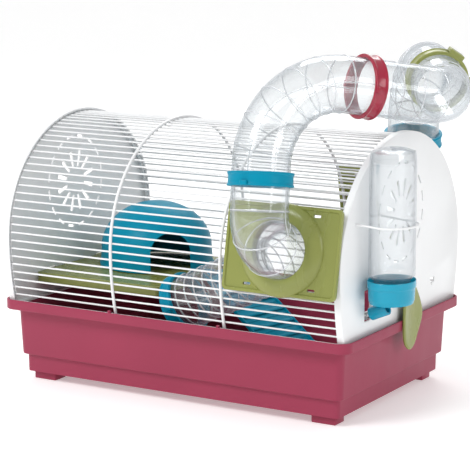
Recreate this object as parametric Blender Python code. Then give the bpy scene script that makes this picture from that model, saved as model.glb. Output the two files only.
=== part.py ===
"""Small wire-topped pet cage with a deep tray, two sheet end panels and an outside tube loop.

Metres, +Z up. The tray's length runs along X and its front faces -Y. Every piece is one named object.
"""
import math

import bmesh
import bpy
from mathutils import Matrix, Vector

# ---- driving sizes -------------------------------------------------------------------------------
TRAY_LENGTH = 0.420
TRAY_DEPTH = 0.2724
RIM_TOP = 0.0908
ARCH_HEIGHT = 0.1945
WIRE_COUNT = 64
TUBE_R = 0.0285
BOTTLE_HEIGHT = 0.130
IGLOO_R = 0.064
IGLOO_TURN = math.radians(-42)

# ---- sizes that follow from them -----------------------------------------------------------------
GAP = 0.0003
HX = TRAY_LENGTH / 2
HY = TRAY_DEPTH / 2
RIM_LOW = RIM_TOP - 0.0110
LEDGE = RIM_TOP - 0.0078
FLOOR_Z = 0.0112
STEP_Z = RIM_TOP * 0.304
WALL = 0.0020
RIM_ROUND = 0.014
LIP = 0.0018

ARCH_BASE = LEDGE + GAP
ARCH_A = HY + 0.0028
ARCH_MID = ARCH_BASE + ARCH_HEIGHT * 0.378
ARCH_B = ARCH_BASE + ARCH_HEIGHT + 0.0072 - ARCH_MID
PANEL_X = HX - 0.0060
RIM_FIT = 0.00028
CORNER_R = RIM_ROUND - LIP * 0.45
CORNER_X = PANEL_X - (HX - LIP - CORNER_R)
RIM_REACH = HY - LIP - CORNER_R + math.sqrt(CORNER_R ** 2 - CORNER_X ** 2) - RIM_FIT
ARCH_LOW = (ARCH_MID - RIM_TOP) / math.sqrt(1 - (RIM_REACH / ARCH_A) ** 2)
PANEL_T = 0.0020
BOSS_OUT = 0.0055
BOSS_DOWN = 0.0045
BOSS_UP = 0.0030
FLANGE = 0.0075
HOOD_OUT = ARCH_A - PANEL_T - 0.0010
HOOD_T = 0.0022
HOOD_END = PANEL_X - 0.0037
HOOP_X = TRAY_LENGTH * 0.1583
WIRE_W = 0.0018
FAN_R = ARCH_HEIGHT * 0.262
FAN_SLOTS = 12
FAN_DASHES = 16

PLATE_X = HX - 0.071
REAR_PLATE_X = PLATE_X - 0.016
PLATE_Z = ARCH_BASE + ARCH_HEIGHT * 0.49
PLATE_W = 0.128
PLATE_H = 0.090
PLATE_T = 0.0026
PLATE_GAP = 0.0004
COLLAR_H = 0.0085
COLLAR_R = 0.0420
REACH = TUBE_R + 0.0215
RISE = 0.0670
FRONT_SWING = math.radians(3.8)
REAR_SWING = math.radians(-6.7)
BEND_UP = 0.1010
BEND_R = 0.0850
SIDE_RUN = HY * 1.539
SIDE_YAW = math.radians(55.8)
SIDE_FALL = math.radians(8.67)
CONNECT = 0.1130
TUBE_WALL = 0.0015
RING_R = TUBE_R + 0.0040
RING_W = 0.0140

SHELF_TOP = RIM_TOP + 0.0212
SHELF_X0 = -PANEL_X + PANEL_T + 0.0005
IGLOO_LEFT = 0.02293
IGLOO_RIGHT = 0.00857
SHELF_X1 = SHELF_X0 + IGLOO_LEFT + IGLOO_R * 2 + IGLOO_RIGHT
INNER_GAP = 0.0090
INNER_RUN = PLATE_X - SHELF_X1 - INNER_GAP
SHELF_Y0 = -HY + 0.0512
SHELF_Y1 = HY - 0.0362
SKIRT = 0.0100

COLOURS = {
    "tray_plastic": (0.42, 0.085, 0.145, 1.0),
    "white_steel": (0.80, 0.81, 0.80, 1.0),
    "green_plastic": (0.28, 0.32, 0.105, 1.0),
    "blue_plastic": (0.0, 0.36, 0.55, 1.0),
    "red_plastic": (0.48, 0.03, 0.08, 1.0),
    "clear_plastic": (0.86, 0.90, 0.92, 0.3),
    "steel": (0.62, 0.63, 0.64, 1.0),
}


def clear_scene():
    """Remove whatever the scene holds."""
    for obj in list(bpy.data.objects):
        bpy.data.objects.remove(obj, do_unlink=True)


def material(slot):
    """Return the named Principled material, making it once."""
    found = bpy.data.materials.get(slot)
    if found:
        return found
    mat = bpy.data.materials.new(slot)
    mat.use_nodes = True
    shader = mat.node_tree.nodes["Principled BSDF"]
    colour = COLOURS[slot]
    shader.inputs["Base Color"].default_value = colour
    shader.inputs["Alpha"].default_value = colour[3]
    shader.inputs["Roughness"].default_value = 0.4
    shader.inputs["Metallic"].default_value = 1.0 if slot == "steel" else 0.0
    return mat


def make(name, verts, faces, slot):
    """One object from plain points and faces."""
    mesh = bpy.data.meshes.new(name)
    mesh.from_pydata([tuple(v) for v in verts], [], faces)
    work = bmesh.new()
    work.from_mesh(mesh)
    bmesh.ops.recalc_face_normals(work, faces=work.faces)
    work.to_mesh(mesh)
    work.free()
    obj = bpy.data.objects.new(name, mesh)
    bpy.context.scene.collection.objects.link(obj)
    mesh.materials.append(material(slot))
    return obj


def loft(name, rings, slot, loop=False):
    """Skin equal rings in order; end caps close it unless the rings loop round."""
    count = len(rings[0])
    verts = [v for ring in rings for v in ring]
    faces = []
    last = len(rings) if loop else len(rings) - 1
    for k in range(last):
        a = k * count
        b = ((k + 1) % len(rings)) * count
        for i in range(count):
            j = (i + 1) % count
            faces.append((a + i, a + j, b + j, b + i))
    if not loop:
        faces.append(tuple(range(count)))
        faces.append(tuple((len(rings) - 1) * count + i for i in range(count)))
    return make(name, verts, faces, slot)


def box(name, low, high, slot):
    """Plain box between two corners."""
    rings = []
    for z in (low[2], high[2]):
        rings.append([(low[0], low[1], z), (high[0], low[1], z), (high[0], high[1], z), (low[0], high[1], z)])
    return loft(name, rings, slot)


def frame_for(axis):
    """Two directions square to an axis."""
    axis = Vector(axis).normalized()
    helper = Vector((0, 0, 1)) if abs(axis.z) < 0.9 else Vector((1, 0, 0))
    u = axis.cross(helper).normalized()
    return u, axis.cross(u).normalized()


def disc(centre, axis, radius, count):
    """Ring of points square to an axis."""
    u, v = frame_for(axis)
    centre = Vector(centre)
    turn = [2 * math.pi * i / count for i in range(count)]
    return [centre + u * (radius * math.cos(t)) + v * (radius * math.sin(t)) for t in turn]


def rod(name, start, end, radius, slot, count=12):
    """Round bar between two points."""
    start, end = Vector(start), Vector(end)
    axis = end - start
    return loft(name, [disc(start, axis, radius, count), disc(end, axis, radius, count)], slot)


def turned(name, centre, axis, profile, slot, count=20, loop=True):
    """Turned piece: profile lists (distance along the axis, radius)."""
    centre, axis = Vector(centre), Vector(axis).normalized()
    rings = [disc(centre + axis * along, axis, radius, count) for along, radius in profile]
    return loft(name, rings, slot, loop=loop)


def combine(body, tool, how):
    """Apply one boolean and drop the tool."""
    tool.hide_render = True
    tool.display_type = "WIRE"
    mod = body.modifiers.new("cut", "BOOLEAN")
    mod.operation = how
    mod.solver = "EXACT"
    mod.object = tool
    graph = bpy.context.evaluated_depsgraph_get()
    result = bpy.data.meshes.new_from_object(body.evaluated_get(graph))
    body.modifiers.clear()
    body.data = result
    bpy.data.objects.remove(tool, do_unlink=True)
    return body


def cut(body, tool):
    """Take the tool out of the body."""
    return combine(body, tool, "DIFFERENCE")


def join(body, tool):
    """Add the tool to the body."""
    return combine(body, tool, "UNION")


def fillet_path(knots, radius, steps):
    """Points along straight runs whose corners are arcs of one radius."""
    knots = [Vector(k) for k in knots]
    points = [knots[0]]
    for before, corner, after in zip(knots, knots[1:], knots[2:]):
        into = (corner - before).normalized()
        out = (after - corner).normalized()
        angle = into.angle(out)
        run = radius * math.tan(angle / 2)
        start = corner - into * run
        side = (out - into * out.dot(into)).normalized()
        middle = start + side * radius
        for k in range(steps + 1):
            t = angle * k / steps
            points.append(middle - side * (radius * math.cos(t)) + into * (radius * math.sin(t)))
    points.append(knots[-1])
    return points


def path_frames(points):
    """Tangent and two side directions carried along a path without twist."""
    tangents = []
    for k, point in enumerate(points):
        before = points[max(k - 1, 0)]
        after = points[min(k + 1, len(points) - 1)]
        if k in (0, len(points) - 1):
            tangents.append((after - before).normalized())
        else:
            tangents.append(((point - before).normalized() + (after - point).normalized()).normalized())
    u, v = frame_for(tangents[0])
    frames = []
    for k, tangent in enumerate(tangents):
        if k:
            turn = tangents[k - 1].rotation_difference(tangent)
            u = (turn @ u).normalized()
            v = tangent.cross(u).normalized()
        frames.append((points[k], u, v))
    return frames


def sweep_rings(points, radius, count):
    """Rings of one radius along a path."""
    rings = []
    for point, u, v in path_frames(points):
        ring = []
        for i in range(count):
            t = 2 * math.pi * i / count
            ring.append(point + u * (radius * math.cos(t)) + v * (radius * math.sin(t)))
        rings.append(ring)
    return rings


def hollow_tube(name, points, slot, count=14):
    """Open-ended tube with an even wall."""
    outer = sweep_rings(points, TUBE_R, count)
    inner = sweep_rings(points, TUBE_R - TUBE_WALL, count)
    return loft(name, outer + inner[::-1], slot, loop=True)


def rounded(hx, hy, radius, z, steps=3):
    """Rounded rectangle loop at one height."""
    points = []
    for sx, sy, start in ((1, 1, 0), (-1, 1, 90), (-1, -1, 180), (1, -1, 270)):
        for k in range(steps + 1):
            t = math.radians(start + 90 * k / steps)
            x = sx * (hx - radius) + radius * math.cos(t)
            points.append((x, sy * (hy - radius) + radius * math.sin(t), z))
    return points


# ---- tray ----------------------------------------------------------------------------------------
def build_tray():
    """Deep tray with a channelled rim, a stepped foot and four corner feet."""
    outer = (
        (0.0185, 0.0092), (0.0182, STEP_Z), (0.0136, STEP_Z + 0.0012), (0.0113, RIM_LOW), (0.0, RIM_LOW),
        (0.0, RIM_TOP), (LIP, RIM_TOP), (LIP, LEDGE), (0.0113 + WALL, LEDGE),
        (0.0136 + WALL, STEP_Z + 0.0030), (0.0205, STEP_Z + 0.0012), (0.0207, FLOOR_Z),
    )
    rings = []
    for inset, z in outer:
        rings.append(rounded(HX - inset, HY - inset, RIM_ROUND - inset * 0.45, z))
    tray = loft("base_tray", rings, "tray_plastic")
    for sx in (-1, 1):
        for sy in (-1, 1):
            low_x, high_x = sorted((sx * (HX - 0.0245), sx * (HX - 0.0520)))
            low_y, high_y = sorted((sy * (HY - 0.0245), sy * (HY - 0.0440)))
            foot = box("foot", (low_x, low_y, 0.0), (high_x, high_y, 0.0100), "tray_plastic")
            join(tray, foot)
    return tray


# ---- arch ----------------------------------------------------------------------------------------
def arch_y(z, a):
    """Half width of the arch at one height."""
    shift = a - ARCH_A
    reach = ARCH_B + shift if z > ARCH_MID else ARCH_LOW
    ratio = (z - ARCH_MID) / reach
    return a * math.sqrt(max(0.0, 1 - ratio * ratio))


def arch_loop(a, base, count=26):
    """Arch outline from front foot over the top to rear foot."""
    points = []
    low = 4
    for k in range(low):
        z = base + (ARCH_MID - base) * k / low
        points.append((-arch_y(z, a), z))
    top = ARCH_B + a - ARCH_A
    for k in range(count + 1):
        t = math.pi * k / count
        points.append((-a * math.cos(t), ARCH_MID + top * math.sin(t)))
    for k in range(low - 1, -1, -1):
        z = base + (ARCH_MID - base) * k / low
        points.append((arch_y(z, a), z))
    return points


def plate_frame(side):
    """Centre, outward normal and uphill direction of a tube plate; side is -1 front, 1 rear."""
    y = arch_y(PLATE_Z, ARCH_A)
    slope_y = y / ARCH_A ** 2
    slope_z = (PLATE_Z - ARCH_MID) / ARCH_B ** 2
    lean = math.atan2(slope_z, slope_y)
    centre = Vector((PLATE_X if side < 0 else REAR_PLATE_X, side * y, PLATE_Z))
    normal = Vector((0, side * math.cos(lean), math.sin(lean)))
    uphill = Vector((0, -side * math.sin(lean), math.cos(lean)))
    return centre, normal, uphill


def slot_fan(centre_y, centre_z, x):
    """Cutters for the vent pattern: radial slots inside a ring of dashes."""
    tools = []
    marks = []
    for k in range(FAN_SLOTS):
        marks.append((2 * math.pi * (k + 0.5) / FAN_SLOTS, FAN_R * 0.32, FAN_R * 0.68, 0.0018, 0.0026))
    for k in range(FAN_DASHES):
        marks.append((2 * math.pi * (k + 0.5) / FAN_DASHES, FAN_R - 0.0014, FAN_R + 0.0014, 0.0058, 0.0058))
    for t, near, far, near_half, far_half in marks:
        out = Vector((0, math.cos(t), math.sin(t)))
        side = Vector((0, -math.sin(t), math.cos(t)))
        middle = Vector((x, centre_y, centre_z))
        rings = []
        for dx in (-0.006, 0.006):
            ring = []
            for along, across in ((near, -near_half), (far, -far_half), (far, far_half), (near, near_half)):
                ring.append(middle + out * along + side * across + Vector((dx, 0, 0)))
            rings.append(ring)
        tools.append(loft("slot", rings, "white_steel"))
    return tools


def build_panel(side):
    """Pressed sheet end panel with a return flange; side is -1 left, 1 right."""
    name = "right_end_panel" if side > 0 else "left_end_panel"
    outer = arch_loop(ARCH_A, ARCH_BASE)
    small = arch_loop(ARCH_A - 0.0012, ARCH_BASE + 0.0012)
    inner = arch_loop(ARCH_A - PANEL_T, ARCH_BASE + PANEL_T)
    lip = PANEL_X - FLANGE
    stations = (
        (PANEL_X - PANEL_T, inner), (lip, inner), (lip, outer), (PANEL_X - 0.0012, outer), (PANEL_X, small),
    )
    rings = [[(side * x, y, z) for y, z in outline] for x, outline in stations]
    panel = loft(name, rings, "white_steel")
    fan_z = ARCH_MID + ARCH_B * 0.36
    for tool in slot_fan(-0.006, fan_z, side * PANEL_X):
        cut(panel, tool)
    boss_z = RIM_TOP + 0.0260
    for sy in (-1, 1):
        low_x, high_x = sorted((side * (PANEL_X - 0.0008), side * (PANEL_X + BOSS_OUT)))
        boss = box("boss", (low_x, sy * 0.0155 - 0.0025, boss_z - BOSS_DOWN),
                   (high_x, sy * 0.0155 + 0.0025, boss_z + BOSS_UP), "white_steel")
        join(panel, boss)
    bore_x = side * (PANEL_X + 0.0034)
    cut(panel, rod("bore", (bore_x, -0.030, boss_z), (bore_x, 0.030, boss_z), 0.0013, "white_steel", 10))
    if side > 0:
        low = (side * PANEL_X - 0.006, BOTTLE_Y - 0.0070, SPOUT_Z - 0.0050)
        high = (side * PANEL_X + 0.006, BOTTLE_Y + 0.0070, SPOUT_Z + 0.0270)
        cut(panel, box("spout_hole", low, high, "white_steel"))
        low = (side * PANEL_X - 0.006, HY * 0.50, RIM_TOP + 0.0240)
        high = (side * PANEL_X + 0.006, HY * 0.50 + 0.0100, RIM_TOP + 0.0300)
        cut(panel, box("rear_slot", low, high, "white_steel"))
    else:
        for y in SHELF_TABS:
            low = (-PANEL_X - 0.006, y - 0.0080, SHELF_TOP - 0.0060)
            high = (-PANEL_X + 0.006, y + 0.0080, SHELF_TOP + 0.0010)
            cut(panel, box("tab_slot", low, high, "white_steel"))
    return panel


SHELF_TABS = (SHELF_Y0 + 0.030, SHELF_Y1 - 0.060)
BOTTLE_Y = -HY * 0.587
SPOUT_Z = RIM_TOP + 0.0175


# ---- wire hood -----------------------------------------------------------------------------------
def hood_profile(samples=900):
    """Fine outline of the hood's outer skin with its running length."""
    base = LEDGE + 0.0040
    start = (-arch_y(base, HOOD_OUT), base)
    points = [start]
    low = samples // 6
    for k in range(1, low):
        z = base + (ARCH_MID - base) * k / low
        points.append((-arch_y(z, HOOD_OUT), z))
    top = ARCH_B + HOOD_OUT - ARCH_A
    for k in range(samples + 1):
        t = math.pi * k / samples
        points.append((-HOOD_OUT * math.cos(t), ARCH_MID + top * math.sin(t)))
    for k in range(low - 1, -1, -1):
        z = base + (ARCH_MID - base) * k / low
        points.append((arch_y(z, HOOD_OUT), z))
    lengths = [0.0]
    for a, b in zip(points, points[1:]):
        lengths.append(lengths[-1] + math.hypot(b[0] - a[0], b[1] - a[1]))
    return points, lengths


def at_length(points, lengths, s):
    """Point and outward normal at a running length."""
    low, high = 0, len(lengths) - 2
    while low < high:
        mid = (low + high + 1) // 2
        if lengths[mid] <= s:
            low = mid
        else:
            high = mid - 1
    a, b = points[low], points[low + 1]
    span = lengths[low + 1] - lengths[low]
    t = (s - lengths[low]) / span
    dy, dz = (b[0] - a[0]) / span, (b[1] - a[1]) / span
    return (a[0] + (b[0] - a[0]) * t, a[1] + (b[1] - a[1]) * t), (-dz, dy)


def build_hood():
    """Grille of long wires welded to two hoops and two end hoops, open behind both tube plates."""
    points, lengths = hood_profile()
    total = lengths[-1]
    pitch = (total - WIRE_W) / (WIRE_COUNT - 1)
    bands = []
    for k in range(WIRE_COUNT):
        bands.append(k * pitch)
        bands.append(k * pitch + WIRE_W)
    open_rows = set()
    edge_rows = set()
    centre, normal, uphill = plate_frame(-1)
    clear = TUBE_R + 0.0022
    rows = len(bands) - 1
    middles = []
    for row in range(rows):
        (y, z), _ = at_length(points, lengths, (bands[row] + bands[row + 1]) / 2)
        middles.append((y, z))
    for side in (-1, 1):
        inside = []
        for row in range(rows):
            y, z = middles[row]
            if y * side > 0 and abs(z - PLATE_Z) < clear + pitch * 0.4:
                inside.append(row)
        first = inside[0] if inside[0] % 2 == 1 else inside[0] - 1
        last = inside[-1] if inside[-1] % 2 == 1 else inside[-1] + 1
        open_rows.update(range(first, last + 1))
        edge_rows.update((first - 1, last + 1))
    half = clear + 0.0016
    coarse = [-HOOD_END, -HOOD_END + 0.003, -HOOP_X - 0.0015, -HOOP_X + 0.0015,
              HOOP_X - 0.0015, HOOP_X + 0.0015, HOOD_END - 0.003, HOOD_END]
    spots = {}
    for side, x in ((-1, PLATE_X), (1, REAR_PLATE_X)):
        spots[side] = [x - half - 0.002, x - half, x + half, x + half + 0.002]
    posts = {0, 2, 4, 6}
    cells = []
    for row in range(rows):
        use_fine = row in open_rows or row in edge_rows
        extra = spots[-1 if middles[row][0] < 0 else 1]
        columns = sorted(coarse + extra) if use_fine else coarse
        for k in range(len(columns) - 1):
            x0, x1 = columns[k], columns[k + 1]
            is_hoop = any(abs(x0 - coarse[p]) < 1e-7 and abs(x1 - coarse[p + 1]) < 1e-7 for p in posts)
            is_frame = abs(x0 - extra[0]) < 1e-7 or abs(x0 - extra[2]) < 1e-7
            in_hole = x0 > extra[1] - 1e-7 and x1 < extra[2] + 1e-7
            is_wire = row % 2 == 0
            solid = is_wire or is_hoop
            if row in open_rows:
                solid = is_hoop or is_frame or (is_wire and not in_hole)
            if solid:
                cells.append((row, x0, x1))
    verts, index = [], {}

    def vertex(band, x, layer):
        key = (band, round(x * 1e6), layer)
        if key not in index:
            (y, z), (ny, nz) = at_length(points, lengths, min(max(bands[band], 1e-6), total - 1e-6))
            depth = HOOD_T * layer
            index[key] = len(verts)
            verts.append((x, y - ny * depth, z - nz * depth))
        return index[key]

    faces = []
    edges = {}
    for row, x0, x1 in cells:
        for layer in (0, 1):
            corner = [vertex(row, x0, layer), vertex(row, x1, layer),
                      vertex(row + 1, x1, layer), vertex(row + 1, x0, layer)]
            faces.append(tuple(corner))
            if layer == 0:
                keys = ((row, x0), (row, x1), (row + 1, x1), (row + 1, x0))
                for a, b in zip(keys, keys[1:] + keys[:1]):
                    mark = tuple(sorted(((a[0], round(a[1] * 1e6)), (b[0], round(b[1] * 1e6)))))
                    edges.setdefault(mark, []).append((a, b))
    for pair in edges.values():
        if len(pair) == 1:
            (ra, xa), (rb, xb) = pair[0]
            faces.append((vertex(ra, xa, 0), vertex(rb, xb, 0), vertex(rb, xb, 1), vertex(ra, xa, 1)))
    return make("wire_hood", verts, faces, "white_steel")


# ---- tube plates and tube loop -------------------------------------------------------------------
def build_plate(side):
    """Moulded plate that follows the hood, with a raised collar round the tube hole."""
    name = "front_plate" if side < 0 else "rear_plate"
    centre, normal, uphill = plate_frame(side)
    rings = []
    steps = 8
    inside, outside = [], []
    for k in range(steps + 1):
        z = PLATE_Z + PLATE_H * (k / steps - 0.5)
        inside.append((arch_y(z, ARCH_A + PLATE_GAP) * side, z))
        outside.append((arch_y(z, ARCH_A + PLATE_GAP + PLATE_T) * side, z))
    outline = inside + outside[::-1]
    for x in (centre.x - PLATE_W / 2, centre.x + PLATE_W / 2):
        rings.append([(x, y, z) for y, z in outline])
    plate = loft(name, rings, "green_plastic")
    collar = turned("collar", centre, normal,
                    [(-0.0160, COLLAR_R), (COLLAR_H - 0.0022, COLLAR_R - 0.0012),
                     (COLLAR_H, COLLAR_R - 0.0045), (COLLAR_H, TUBE_R + 0.002), (-0.0160, TUBE_R + 0.002)],
                     "green_plastic", 24)
    core = arch_loop(ARCH_A + PLATE_GAP + PLATE_T * 0.4, ARCH_BASE)
    ends = (centre.x - PLATE_W, centre.x + PLATE_W)
    cut(collar, loft("core", [[(x, y, z) for y, z in core] for x in ends], "green_plastic"))
    join(plate, collar)
    cut(plate, rod("hole", centre - normal * 0.02, centre + normal * 0.03, TUBE_R + GAP, "green_plastic", 24))
    for sx in (-1, 1):
        for sz in (-1, 1):
            z = PLATE_Z + sz * (PLATE_H / 2 - 0.0085)
            y = side * arch_y(z, ARCH_A)
            x = centre.x + sx * 0.036
            cut(plate, box("slot", (x - 0.0042, y - 0.010, z - 0.0014), (x + 0.0042, y + 0.010, z + 0.0014),
                           "green_plastic"))
    return plate


def loop_points():
    """Every station of the outside tube loop."""
    out = {}
    for key, side, swing in (("front", -1, FRONT_SWING), ("rear", 1, REAR_SWING)):
        centre, normal, uphill = plate_frame(side)
        corner = centre + normal * REACH
        rise = uphill * math.cos(swing) - Vector((1, 0, 0)) * math.sin(swing)
        out[key] = {"start": centre - normal * 0.0060, "corner": corner, "ring": corner + rise * RISE,
                    "axis": rise, "top": corner + rise * (RISE + BEND_UP)}
    level = math.cos(SIDE_FALL)
    aim = Vector((level * math.cos(SIDE_YAW), level * math.sin(SIDE_YAW), -math.sin(SIDE_FALL)))
    turn = out["front"]["top"] + aim * SIDE_RUN
    for key in ("front", "rear"):
        head = (turn - out[key]["top"]).normalized()
        out[key]["head"] = head
        out[key]["joint"] = out[key]["top"] + head * CONNECT
    out["turn"] = turn
    return out


def build_ring(name, centre, axis, slot):
    """Bayonet ring with two lugs over the butted ends of two tubes."""
    profile = [(-RING_W / 2, TUBE_R + GAP * 1.5), (-RING_W / 2, RING_R - 0.0008),
               (-RING_W / 2 + 0.0015, RING_R), (RING_W / 2 - 0.0015, RING_R), (RING_W / 2, RING_R - 0.0008),
                (RING_W / 2, TUBE_R + GAP * 1.5)]
    ring = turned(name, centre, axis, profile, slot, 20)
    axis = Vector(axis).normalized()
    u, v = frame_for(axis)
    for sign in (-1, 1):
        middle = Vector(centre) + u * (sign * (RING_R + 0.0008)) - axis * (RING_W / 2 - 0.0018)
        rings = []
        for along in (-0.0012, 0.0012):
            ring_points = []
            for du, dv in ((-0.0022, -0.0030), (0.0022, -0.0030), (0.0022, 0.0030), (-0.0022, 0.0030)):
                ring_points.append(middle + axis * along + u * du + v * dv)
            rings.append(ring_points)
        join(ring, loft("lug", rings, slot))
    return ring


def build_loop():
    """Outside tubes: two elbows, two long bends, a corner elbow and the rings that join them."""
    spots = loop_points()
    for key in ("front", "rear"):
        spot = spots[key]
        trim = 0.00015
        ring = spot["ring"]
        axis = spot["axis"]
        elbow = fillet_path([spot["start"], spot["corner"], ring - axis * trim], TUBE_R + 0.0065, 5)
        hollow_tube(key + "_elbow", elbow, "clear_plastic")
        bend = fillet_path([ring + axis * trim, spot["top"], spot["joint"] - spot["head"] * trim], BEND_R, 7)
        hollow_tube(key + "_bend", bend, "clear_plastic")
        build_ring(key + "_blue_ring", ring, axis, "blue_plastic")
    front, rear = spots["front"], spots["rear"]
    corner = fillet_path([front["joint"] + front["head"] * 0.00015, spots["turn"],
                          rear["joint"] + rear["head"] * 0.00015], TUBE_R + 0.0100, 5)
    hollow_tube("corner_elbow", corner, "clear_plastic")
    build_ring("red_ring", front["joint"], front["head"], "red_plastic")
    build_ring("green_ring", rear["joint"], -rear["head"], "green_plastic")


def build_inner_tube():
    """Ribbed run from the front plate down into the cabin, ending in a loose ring."""
    centre, normal, uphill = plate_frame(-1)
    corner = centre - normal * (TUBE_R + 0.0160)
    back = Vector((-0.897, 0.058, -0.437)).normalized()
    end = corner + back * INNER_RUN
    points = fillet_path([centre - normal * 0.0064, corner, end], TUBE_R + 0.0065, 5)
    hollow_tube("inner_tube", points, "clear_plastic")
    build_ring("inner_blue_ring", end - back * 0.0072, back, "blue_plastic")


# ---- inside fittings -----------------------------------------------------------------------------
def build_shelf():
    """Moulded shelf with a skirt on three sides and tabs for the left panel."""
    low_z = SHELF_TOP - SKIRT
    shelf = box("shelf", (SHELF_X0, SHELF_Y0, low_z), (SHELF_X1, SHELF_Y1, SHELF_TOP), "green_plastic")
    cut(shelf, box("under", (SHELF_X0 + 0.002, SHELF_Y0 + 0.002, low_z - 0.01),
                   (SHELF_X1 - 0.002, SHELF_Y1 - 0.002, SHELF_TOP - 0.002), "green_plastic"))
    for y in SHELF_TABS:
        join(shelf, box("tab", (-PANEL_X - 0.0012, y - 0.0070, SHELF_TOP - 0.0050),
                        (SHELF_X0 + 0.003, y + 0.0070, SHELF_TOP), "green_plastic"))
    return shelf


def build_igloo():
    """Domed sleeping house with an arched door, open underneath."""
    cx = SHELF_X0 + IGLOO_LEFT + IGLOO_R
    cy = SHELF_Y1 - IGLOO_R - 0.010
    base = SHELF_TOP + GAP
    height = IGLOO_R * 1.10
    wall = 0.0022
    side = height * 0.28
    outer = [(0.0, IGLOO_R), (side, IGLOO_R * 0.97)]
    inner = [(0.0, IGLOO_R - wall), (side, IGLOO_R * 0.97 - wall)]
    for k in range(1, 5):
        t = math.radians(90 * k / 5)
        outer.append((side + (height - side) * math.sin(t), IGLOO_R * 0.97 * math.cos(t)))
        inner.append((side + (height - side - wall) * math.sin(t), (IGLOO_R * 0.97 - wall) * math.cos(t)))
    outer.append((height, IGLOO_R * 0.06))
    inner.append((height - wall, IGLOO_R * 0.06))
    profile = inner + outer[::-1]
    rings = [disc((cx, cy, base + along), (0, 0, 1), radius, 24) for along, radius in profile[:len(inner)]]
    skin = [disc((cx, cy, base + along), (0, 0, 1), radius, 24) for along, radius in outer]
    igloo = loft("igloo", rings[::-1] + skin, "blue_plastic")
    turn = Matrix.Rotation(IGLOO_TURN, 4, "Z")
    rings = []
    width = IGLOO_R * 0.36
    for reach in (IGLOO_R * 0.40, IGLOO_R * 1.3):
        ring = []
        for y, z in ((-width, -0.004), (width, -0.004), (width, height * 0.30)):
            ring.append(Vector((reach, y, z)))
        for k in range(1, 6):
            t = math.radians(180 * k / 6)
            ring.append(Vector((reach, width * math.cos(t), height * 0.30 + width * 0.95 * math.sin(t))))
        ring.append(Vector((reach, -width, height * 0.30)))
        rings.append([turn @ p + Vector((cx, cy, base)) for p in ring])
    cut(igloo, loft("door", rings, "blue_plastic"))
    return igloo, (cx, cy, base)


RAMP_HINGE = Vector((SHELF_X1 + 0.0105, (SHELF_Y0 + SHELF_Y1) / 2 + 0.027, SHELF_TOP + 0.0005))
RAMP_YAW = math.radians(-10)
RAMP_W = 0.074


def build_ramp():
    """Treaded ramp that leans on the floor and hooks over the shelf's free edge."""
    drop = RAMP_HINGE.z - FLOOR_Z - 0.0030
    slope = math.radians(37)
    length = drop / math.sin(slope)
    turn = Matrix.Rotation(RAMP_YAW, 4, "Z")
    outline = []
    treads = 9
    thick = 0.0026
    step = length / treads
    for k in range(treads):
        outline.append((k * step, 0.0))
        outline.append((k * step + step * 0.72, 0.0))
        outline.append((k * step + step * 0.76, 0.0016))
        outline.append((k * step + step * 0.96, 0.0016))
    outline.append((length, 0.0))
    outline.append((length, -thick))
    outline.append((0.0, -thick))
    rings = []
    for y in (-RAMP_W / 2, RAMP_W / 2):
        ring = []
        for along, up in outline:
            x = along * math.cos(slope) + up * math.sin(slope)
            z = -along * math.sin(slope) + up * math.cos(slope)
            ring.append(turn @ Vector((x, y, z)) + RAMP_HINGE)
        rings.append(ring)
    ramp = loft("ramp", rings, "blue_plastic")
    for sy in (-1, 1):
        y = RAMP_HINGE.y + sy * RAMP_W * 0.30
        x0 = SHELF_X1 - 0.0060
        x1 = RAMP_HINGE.x + 0.0045 + sy * math.sin(-RAMP_YAW) * RAMP_W * 0.30
        low, high = SHELF_TOP + GAP, SHELF_TOP + 0.0023
        join(ramp, box("hook", (x0, y - 0.0055, low), (x1, y + 0.0055, high), "blue_plastic"))
        join(ramp, box("drop", (x1 - 0.0060, y - 0.0055, low - 0.0040), (x1, y + 0.0055, high - 0.0002),
                       "blue_plastic"))
    return ramp


# ---- water bottle --------------------------------------------------------------------------------
BOTTLE_RX = 0.0225
BOTTLE_RY = 0.0262
BOTTLE_GAP = 0.0037
BOTTLE_X = PANEL_X + BOTTLE_GAP + BOTTLE_RX
BOTTLE_Z = RIM_TOP + 0.0585


def oval(scale, z, count=20, extra=0.0):
    """Oval loop round the bottle's axis."""
    points = []
    for k in range(count):
        t = 2 * math.pi * k / count
        x = BOTTLE_X + (BOTTLE_RX * scale + extra) * math.cos(t)
        points.append((x, BOTTLE_Y + (BOTTLE_RY * scale + extra) * math.sin(t), z))
    return points


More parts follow.
